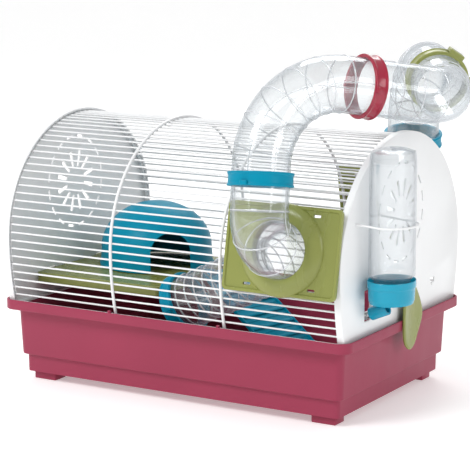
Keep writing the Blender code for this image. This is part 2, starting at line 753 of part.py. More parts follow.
def build_bottle():
    """Clear bottle standing on its cap, with a bent spout that reaches through the panel."""
    top = BOTTLE_Z + BOTTLE_HEIGHT
    outer = [oval(0.80, BOTTLE_Z - 0.014), oval(0.80, BOTTLE_Z - 0.001), oval(1.0, BOTTLE_Z + 0.004),
             oval(1.0, top - 0.006), oval(0.94, top - 0.0015), oval(0.80, top)]
    inner = [oval(0.72, BOTTLE_Z - 0.014), oval(0.72, BOTTLE_Z), oval(0.93, BOTTLE_Z + 0.006),
             oval(0.93, top - 0.007), oval(0.75, top - 0.0015)]
    loft("bottle", inner[::-1] + outer, "clear_plastic")
    low = BOTTLE_Z - 0.0245
    wall_out = [oval(1.0, low + 0.002), oval(1.05, low + 0.004), oval(1.05, BOTTLE_Z - 0.0012)]
    wall_in = [oval(0.80, BOTTLE_Z - 0.0012, extra=GAP), oval(0.80, low + 0.010, extra=GAP)]
    cap = loft("bottle_cap", [oval(0.60, low)] + wall_out + wall_in, "blue_plastic")
    start = Vector((BOTTLE_X - 0.004, BOTTLE_Y, low + 0.006))
    aim = Vector((PANEL_X - 0.010, BOTTLE_Y, SPOUT_Z - 0.0030)) - start
    reach = aim.length - 0.00357
    aim.normalize()
    neck_end = start + aim * 0.020
    join(cap, rod("neck", start, neck_end, 0.0068, "blue_plastic", 14))
    cut(cap, rod("seat", start + aim * 0.006, neck_end + aim * 0.01, 0.0043, "blue_plastic", 14))
    profile = [(0.0065, 0.0032), (0.0065, 0.0040), (reach - 0.0035, 0.0040), (reach, 0.0034),
               (reach, 0.0026), (reach - 0.0035, 0.0032)]
    turned("spout_tube", start, aim, profile, "steel", 14)
    ball = start + aim * (reach - 0.0038)
    rings = []
    for k in range(1, 6):
        t = math.pi * k / 6
        rings.append(disc(ball - aim * (0.0027 * math.cos(t)), aim, 0.0027 * math.sin(t), 12))
    loft("spout_ball", rings, "steel")
    wire = 0.0011
    reach_y = BOTTLE_RY + 0.0022
    reach_x = BOTTLE_RX + 0.0022
    z = BOTTLE_Z + BOTTLE_HEIGHT * 0.42
    knots = [(PANEL_X + GAP, BOTTLE_Y - reach_y, z + 0.002), (BOTTLE_X, BOTTLE_Y - reach_y, z)]
    for k in range(1, 8):
        t = math.pi * k / 8
        knots.append((BOTTLE_X + reach_x * math.sin(t), BOTTLE_Y - reach_y * math.cos(t), z))
    knots.append((BOTTLE_X, BOTTLE_Y + reach_y, z))
    knots.append((PANEL_X + GAP, BOTTLE_Y + reach_y, z + 0.002))
    loft("bottle_bail", sweep_rings([Vector(k) for k in knots], wire, 8), "white_steel")
    return start, aim


# ---- latches -------------------------------------------------------------------------------------
def build_latch(side):
    """Leaf-shaped latch that hangs from the panel's bosses over the rim."""
    word = "right" if side > 0 else "left"
    z0 = RIM_TOP + 0.0260
    shape = ((-0.0115, 0.0040), (-0.0123, -0.0114), (-0.0125, -0.0421), (-0.0085, -0.0531), (0.0000, -0.0592),
             (0.0064, -0.0597), (0.0140, -0.0550), (0.0205, -0.0441), (0.0290, -0.0330), (0.0317, -0.0236),
             (0.0270, -0.0120), (0.0170, 0.0030), (0.0110, 0.0090), (0.0040, 0.0095))
    inner_x = HX + GAP * 2
    rings = []
    for x, scale in ((inner_x, 1.0), (inner_x + 0.0018, 1.0), (inner_x + 0.0028, 0.95)):
        rings.append([(side * x, y * scale, z0 + z * scale) for y, z in shape])
    latch = loft(word + "_latch", rings, "green_plastic")
    axis_x = side * (PANEL_X + 0.0034)
    join(latch, rod("barrel", (axis_x, -0.0122, z0), (axis_x, 0.0122, z0), 0.0029, "green_plastic", 12))
    low_x, high_x = sorted((axis_x, side * (inner_x + 0.0010)))
    join(latch, box("web", (low_x, -0.0122, z0 - 0.0018), (high_x, 0.0122, z0 + 0.0018), "green_plastic"))
    cut(latch, rod("bore", (axis_x, -0.03, z0), (axis_x, 0.03, z0), 0.0014, "green_plastic", 10))
    rod(word + "_latch_pin", (axis_x, -0.0178, z0), (axis_x, 0.0178, z0), 0.0012, "steel", 10)


def set_origin(name, point):
    """Move an object's origin without moving its mesh."""
    obj = bpy.data.objects[name]
    shift = Vector(point)
    obj.data.transform(Matrix.Translation(-shift))
    obj.location = shift


def centre_on_base():
    """Slide the whole cage so that the middle of its overall box stands on the Z axis."""
    bpy.context.view_layer.update()
    corners = []
    for obj in bpy.context.scene.objects:
        for vertex in obj.data.vertices:
            corners.append(obj.matrix_world @ vertex.co)
    shift_x = -(min(p.x for p in corners) + max(p.x for p in corners)) / 2
    shift_y = -(min(p.y for p in corners) + max(p.y for p in corners)) / 2
    for obj in bpy.context.scene.objects:
        obj.location.x += shift_x
        obj.location.y += shift_y


def main():
    """Build every piece and put moving pieces' origins on their axes."""
    clear_scene()
    build_tray()
    build_panel(-1)
    build_panel(1)
    build_hood()
    build_plate(-1)
    build_plate(1)
    build_loop()
    build_inner_tube()
    build_shelf()
    build_igloo()
    build_ramp()
    build_bottle()
    build_latch(-1)
    build_latch(1)
    spots = loop_points()
    set_origin("front_blue_ring", spots["front"]["ring"])
    set_origin("rear_blue_ring", spots["rear"]["ring"])
    set_origin("red_ring", spots["front"]["joint"])
    set_origin("green_ring", spots["rear"]["joint"])
    set_origin("ramp", RAMP_HINGE)
    for side, word in ((-1, "left"), (1, "right")):
        set_origin(word + "_latch", (side * (PANEL_X + 0.0034), 0, RIM_TOP + 0.0260))
    set_origin("bottle_cap", (BOTTLE_X, BOTTLE_Y, BOTTLE_Z))
    centre_on_base()


main()
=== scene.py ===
"""Finished looks for the small wire-topped hamster cage.

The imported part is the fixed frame. Each class below makes one sub-assembly in metres, with +Z up and the
cage's middle on the Z axis, and every piece rides on the frame body it belongs to.
"""
import logging
import math
from dataclasses import dataclass, field
from enum import Enum
from typing import Iterable, Sequence

import bmesh
import bpy
import numpy as np
from mathutils import Matrix, Vector


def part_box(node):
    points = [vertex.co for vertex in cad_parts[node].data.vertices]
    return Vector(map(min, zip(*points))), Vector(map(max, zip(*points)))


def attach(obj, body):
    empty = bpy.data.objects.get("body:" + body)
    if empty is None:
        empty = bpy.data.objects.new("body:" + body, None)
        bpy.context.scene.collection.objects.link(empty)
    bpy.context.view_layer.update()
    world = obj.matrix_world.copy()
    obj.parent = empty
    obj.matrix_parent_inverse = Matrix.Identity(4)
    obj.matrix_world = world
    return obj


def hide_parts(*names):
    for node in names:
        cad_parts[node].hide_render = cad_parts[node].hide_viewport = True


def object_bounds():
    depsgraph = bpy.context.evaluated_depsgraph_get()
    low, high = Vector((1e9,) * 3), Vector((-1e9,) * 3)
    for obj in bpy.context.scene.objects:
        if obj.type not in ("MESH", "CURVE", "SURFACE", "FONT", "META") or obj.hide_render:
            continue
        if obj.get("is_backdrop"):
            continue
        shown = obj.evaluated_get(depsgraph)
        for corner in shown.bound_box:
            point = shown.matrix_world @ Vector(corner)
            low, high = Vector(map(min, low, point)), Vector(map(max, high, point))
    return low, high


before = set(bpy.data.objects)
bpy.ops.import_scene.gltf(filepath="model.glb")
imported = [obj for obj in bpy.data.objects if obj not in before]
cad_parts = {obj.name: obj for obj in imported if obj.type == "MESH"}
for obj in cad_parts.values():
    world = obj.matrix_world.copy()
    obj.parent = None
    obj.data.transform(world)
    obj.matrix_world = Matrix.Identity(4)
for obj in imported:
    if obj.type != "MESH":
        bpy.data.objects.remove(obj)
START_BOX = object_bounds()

LOG = logging.getLogger("cage")

# ---- sizes shared by several pieces ----------------------------------------------------------------
TRAY_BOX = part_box("base_tray")
HALF_X = (TRAY_BOX[1].x - TRAY_BOX[0].x) / 2
HALF_Y = (TRAY_BOX[1].y - TRAY_BOX[0].y) / 2
MID_X = (TRAY_BOX[1].x + TRAY_BOX[0].x) / 2
MID_Y = (TRAY_BOX[1].y + TRAY_BOX[0].y) / 2
RIM_TOP = TRAY_BOX[1].z
LEDGE = RIM_TOP - 0.0078
STEP_Z = RIM_TOP * 0.304
FLOOR_Z = 0.0112
ARCH_HEIGHT = 0.1945
ARCH_BASE = LEDGE + 0.0003
ARCH_A = HALF_Y + 0.0028
ARCH_MID = ARCH_BASE + ARCH_HEIGHT * 0.378
ARCH_B = ARCH_BASE + ARCH_HEIGHT + 0.0072 - ARCH_MID
ARCH_LOW = (ARCH_MID - ARCH_BASE) * 2.62
PANEL_X = HALF_X - 0.0060
PANEL_T = 0.0020
FLANGE = 0.0075
BOSS_SPAN = 0.0155
BOSS_HALF = 0.0025
BOSS_OUT = 0.0055
BOSS_LOW = 0.1123
BOSS_HIGH = 0.1198
HOOD_OUT = ARCH_A - PANEL_T - 0.0010
HOOD_END = PANEL_X - 0.0037
HOOP_X = HALF_X * 2 * 0.1583
WIRE_COUNT = 64
FAN_R = ARCH_HEIGHT * 0.262
PLATE_X = MID_X + HALF_X - 0.071
REAR_PLATE_X = PLATE_X - 0.016
PLATE_Z = ARCH_BASE + ARCH_HEIGHT * 0.49
PLATE_W = 0.128
PLATE_H = 0.090
COLLAR_R = 0.0420
TUBE_R = 0.0285
TUBE_WALL = 0.0015
RING_R = TUBE_R + 0.0040
RING_W = 0.0140
SHELF_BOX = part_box("shelf")
IGLOO_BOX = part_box("igloo")
BOTTLE_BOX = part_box("bottle")
SEED = 11


class Body(str, Enum):
    """Frame bodies that pieces ride on."""

    TRAY = "tray"
    TOP = "cage_top"
    IGLOO = "igloo"
    RAMP = "ramp"
    BOTTLE = "bottle"
    BALL = "spout_ball"
    LEFT_LATCH = "left_latch"
    RIGHT_LATCH = "right_latch"
    FRONT_RING = "front_twist_ring"
    REAR_RING = "rear_twist_ring"
    RED_RING = "red_twist_ring"
    GREEN_RING = "green_twist_ring"
    INNER_RING = "inner_twist_ring"


class Slot(str, Enum):
    """The record's material slots."""

    TRAY = "tray_plastic"
    WHITE = "white_steel"
    GREEN = "green_plastic"
    BLUE = "blue_plastic"
    RED = "red_plastic"
    CLEAR = "clear_plastic"
    STEEL = "steel"


# ---- shader building -------------------------------------------------------------------------------
def linear(red: float, green: float, blue: float) -> tuple[float, float, float, float]:
    """Turn a display colour from 0 to 255 into linear values.

    Args:
        red: Red, 0 to 255.
        green: Green, 0 to 255.
        blue: Blue, 0 to 255.

    Returns:
        Linear red, green, blue and an opaque alpha.
    """
    out = []
    for value in (red, green, blue):
        v = value / 255
        out.append(v / 12.92 if v <= 0.04045 else ((v + 0.055) / 1.055) ** 2.4)
    return (*out, 1.0)


class Num:
    """A shader number that ordinary arithmetic turns into Math nodes."""

    def __init__(self, graph: "Graph", socket: bpy.types.NodeSocket) -> None:
        """Wrap one output socket.

        Args:
            graph: Graph that the socket belongs to.
            socket: Output to wrap.
        """
        self.graph = graph
        self.socket = socket

    def _math(self, kind: str, first: object, second: object = 0.0, clamp: bool = False) -> "Num":
        """Add one Math node and wrap its output."""
        node = self.graph.node("ShaderNodeMath", {"operation": kind, "use_clamp": clamp},
                               {0: first, 1: second})
        return Num(self.graph, node.outputs[0])

    def __add__(self, other: object) -> "Num":
        """Sum."""
        return self._math("ADD", self, other)

    def __radd__(self, other: object) -> "Num":
        """Sum with the number on the left."""
        return self._math("ADD", other, self)

    def __sub__(self, other: object) -> "Num":
        """Difference."""
        return self._math("SUBTRACT", self, other)

    def __rsub__(self, other: object) -> "Num":
        """Difference with the number on the left."""
        return self._math("SUBTRACT", other, self)

    def __mul__(self, other: object) -> "Num":
        """Product."""
        return self._math("MULTIPLY", self, other)

    def __rmul__(self, other: object) -> "Num":
        """Product with the number on the left."""
        return self._math("MULTIPLY", other, self)

    def __truediv__(self, other: object) -> "Num":
        """Quotient."""
        return self._math("DIVIDE", self, other)

    def __rtruediv__(self, other: object) -> "Num":
        """Quotient with the number on the left."""
        return self._math("DIVIDE", other, self)

    def __pow__(self, other: object) -> "Num":
        """Power."""
        return self._math("POWER", self, other)

    def clamped(self) -> "Num":
        """The same value held between 0 and 1."""
        return self._math("ADD", self, 0.0, clamp=True)


class Graph:
    """Node tree of one material, with short ways to add nodes."""

    def __init__(self, name: str) -> None:
        """Start an empty material.

        Args:
            name: Material name.
        """
        self.material = bpy.data.materials.new(name)
        self.material.use_nodes = True
        self.tree = self.material.node_tree
        self.tree.nodes.clear()
        self.out = self.node("ShaderNodeOutputMaterial")
        self.place = self.node("ShaderNodeTexCoord").outputs["Object"]

    def node(self, kind: str, settings: dict | None = None, values: dict | None = None) -> bpy.types.Node:
        """Add any node.

        Args:
            kind: Node type.
            settings: Node properties by name.
            values: Input values, sockets or Nums by socket name or index.

        Returns:
            The new node.
        """
        node = self.tree.nodes.new(kind)
        for key, value in (settings or {}).items():
            setattr(node, key, value)
        for key, value in (values or {}).items():
            target = node.inputs[key]
            if isinstance(value, Num):
                value = value.socket
            if isinstance(value, bpy.types.NodeSocket):
                self.tree.links.new(value, target)
            else:
                target.default_value = value
        return node

    def noise(self, scale: float, detail: float = 3.0, stretch: Sequence[float] = (1, 1, 1)) -> Num:
        """Even noise from 0 to 1 over object space.

        Args:
            scale: Cells per metre.
            detail: Octaves.
            stretch: Scale along each axis.

        Returns:
            The noise value.
        """
        where = self.node("ShaderNodeMapping", {}, {"Vector": self.place, "Scale": stretch})
        values = {"Vector": where.outputs[0], "Scale": scale, "Detail": detail}
        return Num(self, self.node("ShaderNodeTexNoise", {}, values).outputs[0])

    def blend(self, amount: object, first: object, second: object) -> bpy.types.NodeSocket:
        """Mix two colours.

        Args:
            amount: Share of the second colour.
            first: First colour.
            second: Second colour.

        Returns:
            The mixed colour socket.
        """
        node = self.node("ShaderNodeMix", {"data_type": "RGBA"}, {0: amount, 6: first, 7: second})
        return node.outputs[2]

    def bump(self, height: object, strength: float, distance: float) -> bpy.types.NodeSocket:
        """Bump from a height value.

        Args:
            height: Height, 0 to 1.
            strength: Strength, 0 to 1.
            distance: Depth in metres.

        Returns:
            The normal socket.
        """
        values = {"Height": height, "Strength": strength, "Distance": distance}
        return self.node("ShaderNodeBump", {}, values).outputs[0]

    def finish(self, shader: bpy.types.NodeSocket) -> bpy.types.Material:
        """Join a shader to the output and return the material."""
        self.tree.links.new(shader, self.out.inputs["Surface"])
        return self.material


@dataclass(frozen=True)
class Moulded:
    """Glossy moulded plastic with faint mottling, fine grain and soft scuffs."""

    name: str
    colour: tuple
    shade: float = 0.80
    roughness: float = 0.30
    coat: float = 0.10
    gloss: float = 0.40
    grain: float = 900.0
    depth: float = 0.00006
    glow: float = 0.0
    through: float = 0.0

    def make(self) -> bpy.types.Material:
        """Build the material."""
        g = Graph(self.name)
        dark = tuple(c * self.shade for c in self.colour[:3]) + (1.0,)
        cloud = g.noise(14.0, 2.0)
        speck = g.noise(self.grain, 2.0)
        scuff = g.noise(60.0, 4.0, (1.0, 1.0, 0.25))
        base = g.blend((cloud * 0.7 + speck * 0.3 - 0.15).clamped(), dark, self.colour)
        rough = (scuff - 0.5) * 0.18 + self.roughness
        height = speck * 0.5 + g.noise(self.grain * 0.24, 2.0) * 0.5
        values = {
            "Base Color": base, "Roughness": rough, "IOR": 1.49, "Specular IOR Level": self.gloss,
            "Coat Weight": self.coat, "Coat Roughness": 0.12,
            "Normal": g.bump(height, 0.35, self.depth),
            "Subsurface Weight": self.glow, "Subsurface Scale": 0.004, "Transmission Weight": self.through,
        }
        shader = g.node("ShaderNodeBsdfPrincipled", {}, values)
        return g.finish(shader.outputs[0])


@dataclass(frozen=True)
class Enamel:
    """Baked white enamel on steel, with a faint orange-peel surface."""

    name: str
    colour: tuple
    roughness: float = 0.34
    peel: float = 420.0
    depth: float = 0.00008

    def make(self) -> bpy.types.Material:
        """Build the material."""
        g = Graph(self.name)
        dull = tuple(c * 0.93 for c in self.colour[:3]) + (1.0,)
        cloud = g.noise(22.0, 3.0)
        peel = g.noise(self.peel, 2.0)
        base = g.blend((cloud * 1.4 - 0.2).clamped(), dull, self.colour)
        values = {
            "Base Color": base, "Roughness": (cloud - 0.5) * 0.12 + self.roughness, "IOR": 1.5,
            "Coat Weight": 0.15, "Coat Roughness": 0.2, "Normal": g.bump(peel, 0.25, self.depth),
        }
        shader = g.node("ShaderNodeBsdfPrincipled", {}, values)
        return g.finish(shader.outputs[0])


@dataclass(frozen=True)
class Clear:
    """Thin clear plastic: see-through face on, greyer and brighter at its edges, with a slight haze. The grey
    at the edges is painted shade that stands in for refraction.
    """

    name: str
    tint: tuple = (0.975, 0.982, 0.985, 1.0)
    # rim: grey that the see-through colour turns to at grazing angles; painted edge shade standing in for
    # refraction
    rim: tuple = (0.50, 0.54, 0.57, 1.0)
    edge: float = 0.55
    face: float = 0.05
    haze: float = 0.010

    def make(self) -> bpy.types.Material:
        """Build the material."""
        g = Graph(self.name)
        wave = g.bump(g.noise(45.0, 2.0), 0.30, 0.0006)
        facing = Num(g, g.node("ShaderNodeLayerWeight", {}, {"Blend": 0.5, "Normal": wave}).outputs["Facing"])
        amount = (facing ** 3.0 * self.edge + self.face).clamped()
        # painted shade: the see-through colour darkens towards the rim grey at the edges, standing in for
        # refraction
        colour = g.blend((facing ** 4.0 * 1.1).clamped(), self.tint, self.rim)
        clear = g.node("ShaderNodeBsdfTransparent", {}, {"Color": colour})
        shine = g.node("ShaderNodeBsdfAnisotropic", {}, {"Color": (0.97, 0.98, 1.0, 1.0), "Roughness": 0.06,
                                                        "Normal": wave})
        body = g.node("ShaderNodeBsdfPrincipled", {}, {"Base Color": (0.88, 0.90, 0.92, 1.0),
                                                      "Roughness": 0.25, "Normal": wave})
        skin_mix = g.node("ShaderNodeMixShader", {}, {0: amount, 1: clear.outputs[0], 2: shine.outputs[0]})
        smear = (g.noise(55.0, 3.0) * 0.03 + self.haze + facing ** 3.0 * 0.10).clamped()
        whole = g.node("ShaderNodeMixShader", {}, {0: smear, 1: skin_mix.outputs[0], 2: body.outputs[0]})
        return g.finish(whole.outputs[0])


@dataclass(frozen=True)
class Metal:
    """Drawn stainless steel with fine lengthways streaks."""

    name: str
    colour: tuple = (0.66, 0.67, 0.68, 1.0)
    roughness: float = 0.22

    def make(self) -> bpy.types.Material:
        """Build the material."""
        g = Graph(self.name)
        streak = g.noise(700.0, 2.0, (0.15, 1.0, 1.0))
        base = g.blend(streak, tuple(c * 0.8 for c in self.colour[:3]) + (1.0,), self.colour)
        values = {
            "Base Color": base, "Metallic": 1.0, "Roughness": (streak - 0.5) * 0.15 + self.roughness,
            "Normal": g.bump(streak, 0.2, 0.00003),
        }
        return g.finish(g.node("ShaderNodeBsdfPrincipled", {}, values).outputs[0])


@dataclass(frozen=True)
class Backdrop:
    """Matt pale studio paper."""

    name: str
    colour: tuple = (0.86, 0.86, 0.86, 1.0)
    lift: float = 0.40

    def make(self) -> bpy.types.Material:
        """Build the material."""
        g = Graph(self.name)
        tooth = g.noise(240.0, 2.0)
        base = g.blend(tooth, tuple(c * 0.985 for c in self.colour[:3]) + (1.0,), self.colour)
        values = {"Base Color": base, "Roughness": 0.75, "Specular IOR Level": 0.2,
                  "Emission Color": self.colour, "Emission Strength": self.lift}
        return g.finish(g.node("ShaderNodeBsdfPrincipled", {}, values).outputs[0])


@dataclass
class Finishes:
    """Every finish, made once."""

    made: dict[str, bpy.types.Material] = field(default_factory=dict)
    kinds: tuple = (
        Moulded("tray_gloss", linear(162, 60, 86), roughness=0.40, coat=0.04, gloss=0.22),
        Enamel("white_enamel", linear(243, 244, 245)),
        Enamel("wire_enamel", linear(240, 241, 242), roughness=0.28, peel=900.0, depth=0.00003),
        Moulded("olive_gloss", linear(149, 155, 82), roughness=0.26, coat=0.16),
        Moulded("teal_gloss", linear(0, 148, 180), roughness=0.38, coat=0.03, gloss=0.12),
        Moulded("pale_teal_gloss", linear(12, 164, 196), roughness=0.22, coat=0.20, gloss=0.32),
        Moulded("crimson_gloss", linear(190, 30, 66), roughness=0.16, coat=0.5, glow=0.10, through=0.25),
        Clear("tube_clear"),
        # the darker rim greys below give the ribs and the bottle painted dark edge lines that stand in for
        # refraction
        Clear("rib_clear", haze=0.30, face=0.16, edge=0.6, rim=(0.42, 0.45, 0.48, 1.0)),
        Clear("bottle_clear", haze=0.012, face=0.06, rim=(0.36, 0.39, 0.42, 1.0)),
        Metal("spout_steel"),
        Backdrop("studio_paper"),
    )

    def __getitem__(self, name: str) -> bpy.types.Material:
        """Give a finish by name, building it the first time."""
        if name not in self.made:
            self.made[name] = next(k for k in self.kinds if k.name == name).make()
        return self.made[name]


FINISH = Finishes()
SLOT_OF = {
    "tray_gloss": Slot.TRAY, "white_enamel": Slot.WHITE, "wire_enamel": Slot.WHITE, "olive_gloss": Slot.GREEN,
    "teal_gloss": Slot.BLUE, "pale_teal_gloss": Slot.BLUE, "crimson_gloss": Slot.RED,
    "tube_clear": Slot.CLEAR,
    "bottle_clear": Slot.CLEAR, "rib_clear": Slot.CLEAR, "spout_steel": Slot.STEEL,
}


# ---- mesh building ---------------------------------------------------------------------------------
def blank(name: str, verts: Iterable, edges: Iterable = (), faces: Iterable = ()) -> bpy.types.Object:
    """Make one linked object from plain points, edges and faces."""
    mesh = bpy.data.meshes.new(name)
    mesh.from_pydata([tuple(v) for v in verts], list(edges), list(faces))
    obj = bpy.data.objects.new(name, mesh)
    bpy.context.scene.collection.objects.link(obj)
    return obj


def outward(obj: bpy.types.Object) -> bpy.types.Object:
    """Turn every face of a closed mesh outwards."""
    work = bmesh.new()
    work.from_mesh(obj.data)
    bmesh.ops.recalc_face_normals(work, faces=work.faces)
    work.to_mesh(obj.data)
    work.free()
    return obj


def skin(name: str, rings: Sequence, loop: bool = False) -> bpy.types.Object:
    """Skin equal rings in order.

    Args:
        name: Object name.
        rings: Rings of points, all of one length.
        loop: True joins the last ring to the first, so that there are no end caps.

    Returns:
        The closed object.
    """
    count = len(rings[0])
    verts = [v for ring in rings for v in ring]
    faces = []
    for k in range(len(rings) if loop else len(rings) - 1):
        a = k * count
        b = ((k + 1) % len(rings)) * count
        for i in range(count):
            j = (i + 1) % count
            faces.append((a + i, a + j, b + j, b + i))
    if not loop:
        faces.append(tuple(range(count))[::-1])
        faces.append(tuple((len(rings) - 1) * count + i for i in range(count)))
    return outward(blank(name, verts, (), faces))


def box(name: str, low: Sequence, high: Sequence) -> bpy.types.Object:
    """Box between two corners."""
    flat = ((low[0], low[1]), (high[0], low[1]), (high[0], high[1]), (low[0], high[1]))
    return skin(name, [[(x, y, z) for x, y in flat] for z in (low[2], high[2])])


def soften(obj: bpy.types.Object, width: float, segments: int = 2, angle: float = 35) -> bpy.types.Object:
    """Add a bevel to sharp edges and bake it."""
    mod = obj.modifiers.new("edge", "BEVEL")
    mod.width = width
    mod.segments = segments
    mod.limit_method = "ANGLE"
    mod.angle_limit = math.radians(angle)
    mod.use_clamp_overlap = True
    mod.harden_normals = False
    return bake(obj)


def bake(obj: bpy.types.Object) -> bpy.types.Object:
    """Turn live modifiers into a plain mesh."""
    deps = bpy.context.evaluated_depsgraph_get()
    deps.update()
    mesh = bpy.data.meshes.new_from_object(obj.evaluated_get(deps), depsgraph=deps)
    obj.modifiers.clear()
    old = obj.data
    obj.data = mesh
    bpy.data.meshes.remove(old)
    return obj


def cut(obj: bpy.types.Object, tools: Sequence[bpy.types.Object]) -> bpy.types.Object:
    """Take cutters out of an object in one pass and remove them."""
    cutter = join(tools[0], *tools[1:])
    cutter.hide_render = True
    cutter.display_type = "WIRE"
    mod = obj.modifiers.new("cut", "BOOLEAN")
    mod.operation = "DIFFERENCE"
    mod.solver = "EXACT"
    mod.use_self = True
    mod.object = cutter
    bake(obj)
    bpy.data.objects.remove(cutter, do_unlink=True)
    return obj


def join(obj: bpy.types.Object, *others: bpy.types.Object) -> bpy.types.Object:
    """Put other meshes into one object."""
    work = bmesh.new()
    work.from_mesh(obj.data)
    for other in others:
        work.from_mesh(other.data)
        bpy.data.objects.remove(other, do_unlink=True)
    work.to_mesh(obj.data)
    work.free()
    return obj


def place(obj: bpy.types.Object, finish: str, body: Body, *stands_for: str,
          angle: float = 38) -> bpy.types.Object:
    """Give a piece its finish and smooth shading, and put it on its body.

    Args:
        obj: Finished mesh object at the origin.
        finish: Finish name.
        body: Frame body it rides on.
        stands_for: Frame nodes it replaces.
        angle: Edges sharper than this many degrees stay crisp.

    Returns:
        The same object.
    """
    mesh = obj.data
    mesh.materials.clear()
    mesh.materials.append(FINISH[finish])
    count = len(mesh.polygons)
    mesh.polygons.foreach_set("material_index", np.zeros(count, np.int32))
    mesh.polygons.foreach_set("use_smooth", np.ones(count, bool))
    mesh.set_sharp_from_angle(angle=math.radians(angle))
    mesh.update()
    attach(obj, body.value)
    if stands_for:
        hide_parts(*stands_for)
    SLOT_OF[finish].value
    return obj


def rounded(points: Sequence, radius: float, steps: int = 4) -> list[tuple[float, ...]]:
    """Round the inner corners of an open line of points.

    Args:
        points: Points of any one dimension.
        radius: Length taken off each side of a corner.
        steps: Spans per corner.

    Returns:
        The new points.
    """
    pts = [np.array(p, float) for p in points]
    out = [pts[0]]
    for before, here, after in zip(pts, pts[1:], pts[2:]):
        back, ahead = before - here, after - here
        lb, la = np.linalg.norm(back), np.linalg.norm(ahead)
        a = here + back / lb * min(radius, lb * 0.45)
        b = here + ahead / la * min(radius, la * 0.45)
        for k in range(steps + 1):
            t = k / steps
            out.append(a * (1 - t) ** 2 + here * 2 * t * (1 - t) + b * t ** 2)
    out.append(pts[-1])
    return [tuple(p) for p in out]


def rect_loop(half_x: float, half_y: float, radius: float, steps: int = 8) -> list[tuple[float, float]]:
    """Rounded rectangle as a closed loop of (x, y)."""
    out = []
    for sx, sy, start in ((1, 1, 0), (-1, 1, 90), (-1, -1, 180), (1, -1, 270)):
        for k in range(steps + 1):
            t = math.radians(start + 90 * k / steps)
            out.append((sx * (half_x - radius) + radius * math.cos(t),
                        sy * (half_y - radius) + radius * math.sin(t)))
    return out


def square_to(axis: Vector) -> tuple[Vector, Vector]:
    """Two directions square to an axis and to each other."""
    helper = Vector((0, 0, 1)) if abs(axis.z) < 0.9 else Vector((1, 0, 0))
    side = axis.cross(helper).normalized()
    return side, axis.cross(side).normalized()


def turned(name: str, centre: Vector, axis: Vector, profile: Sequence, count: int = 72) -> bpy.types.Object:
    """Turn a closed profile of (distance along the axis, radius) into a ring or drum."""
    axis = Vector(axis).normalized()
    u, v = square_to(axis)
    rings = []
    for along, radius in profile:
        middle = Vector(centre) + axis * along
        turns = [2 * math.pi * k / count for k in range(count)]
        rings.append([middle + u * radius * math.cos(t) + v * radius * math.sin(t) for t in turns])
    return skin(name, rings, loop=True)


def closed_profile(points: Sequence, radius: float, steps: int = 4) -> list[tuple[float, ...]]:
    """Round every corner of a closed profile."""
    start = tuple((np.array(points[-1]) + np.array(points[0])) / 2)
    return rounded([start, *points, start], radius, steps)[:-1]


def arch_y(z: float, a: float) -> float:
    """Half width of the arch at one height, for an arch whose widest half is a."""
    reach = ARCH_B + a - ARCH_A if z > ARCH_MID else ARCH_LOW
    ratio = (z - ARCH_MID) / reach
    return a * math.sqrt(max(0.0, 1 - ratio * ratio))


def arch_line(a: float, base: float, steps: int = 96) -> list[tuple[float, float]]:
    """Arch as (y, z) from the front foot over the top to the rear foot."""
    low = 10
    foot = [(base + (ARCH_MID - base) * k / low) for k in range(low)]
    top = ARCH_B + a - ARCH_A
    crown = [math.pi * k / steps for k in range(steps + 1)]
    line = [(-arch_y(z, a), z) for z in foot]
    line += [(-a * math.cos(t), ARCH_MID + top * math.sin(t)) for t in crown]
    return line + [(arch_y(z, a), z) for z in reversed(foot)]


def even(line: Sequence, count: int) -> list[np.ndarray]:
    """Points spaced evenly along a line, ends included."""
    pts = np.array(line, float)
    gaps = np.linalg.norm(np.diff(pts, axis=0), axis=1)
    run = np.concatenate([[0.0], np.cumsum(gaps)])
    spots = np.linspace(0.0, run[-1], count)
    return [np.array([np.interp(s, run, pts[:, k]) for k in range(pts.shape[1])]) for s in spots]


# ---- repeating and path-following parts --------------------------------------------------------------
class Recipe:
    """A Geometry Nodes group that is put together, run once and baked."""

    def __init__(self, name: str, inputs: dict[str, tuple[str, object]]) -> None:
        """Start a group.

        Args:
            name: Group name.
            inputs: Socket type and default value by input name.
        """
        self.tree = bpy.data.node_groups.new(name, "GeometryNodeTree")
        face = self.tree.interface
        face.new_socket("Geometry", in_out="INPUT", socket_type="NodeSocketGeometry")
        for label, (kind, default) in inputs.items():
            socket = face.new_socket(label, in_out="INPUT", socket_type="NodeSocket" + kind)
            if default is not None:
                socket.default_value = default
        face.new_socket("Geometry", in_out="OUTPUT", socket_type="NodeSocketGeometry")
        self.given = self.tree.nodes.new("NodeGroupInput").outputs
        self.end = self.tree.nodes.new("NodeGroupOutput")

    def node(self, kind: str, settings: dict | None = None, values: dict | None = None) -> bpy.types.Node:
        """Add any node, as in Graph.node."""
        node = self.tree.nodes.new(kind)
        for key, value in (settings or {}).items():
            setattr(node, key, value)
        for key, value in (values or {}).items():
            if isinstance(value, bpy.types.NodeSocket):
                self.tree.links.new(value, node.inputs[key])
            else:
                node.inputs[key].default_value = value
        return node

    def close(self, geometry: bpy.types.NodeSocket) -> "Recipe":
        """Realize the instances, set the material and end the group."""
        real = self.node("GeometryNodeRealizeInstances", {}, {0: geometry})
        smooth = self.node("GeometryNodeSetShadeSmooth", {}, {0: real.outputs[0]})
        paint = self.node("GeometryNodeSetMaterial", {}, {0: smooth.outputs[0], 2: self.given["Material"]})
        self.tree.links.new(paint.outputs[0], self.end.inputs[0])
        return self

    def grow(self, obj: bpy.types.Object, values: dict[str, object]) -> bpy.types.Object:
        """Run the group on an object and bake the result.

        Args:
            obj: Object that holds the starting points or path.
            values: Input values by input name.

        Returns:
            The baked object.
        """
        mod = obj.modifiers.new(self.tree.name, "NODES")
        mod.node_group = self.tree
        for item in self.tree.interface.items_tree:
            if item.item_type == "SOCKET" and item.in_out == "INPUT" and item.name in values:
                mod[item.identifier] = values[item.name]
        return bake(obj)


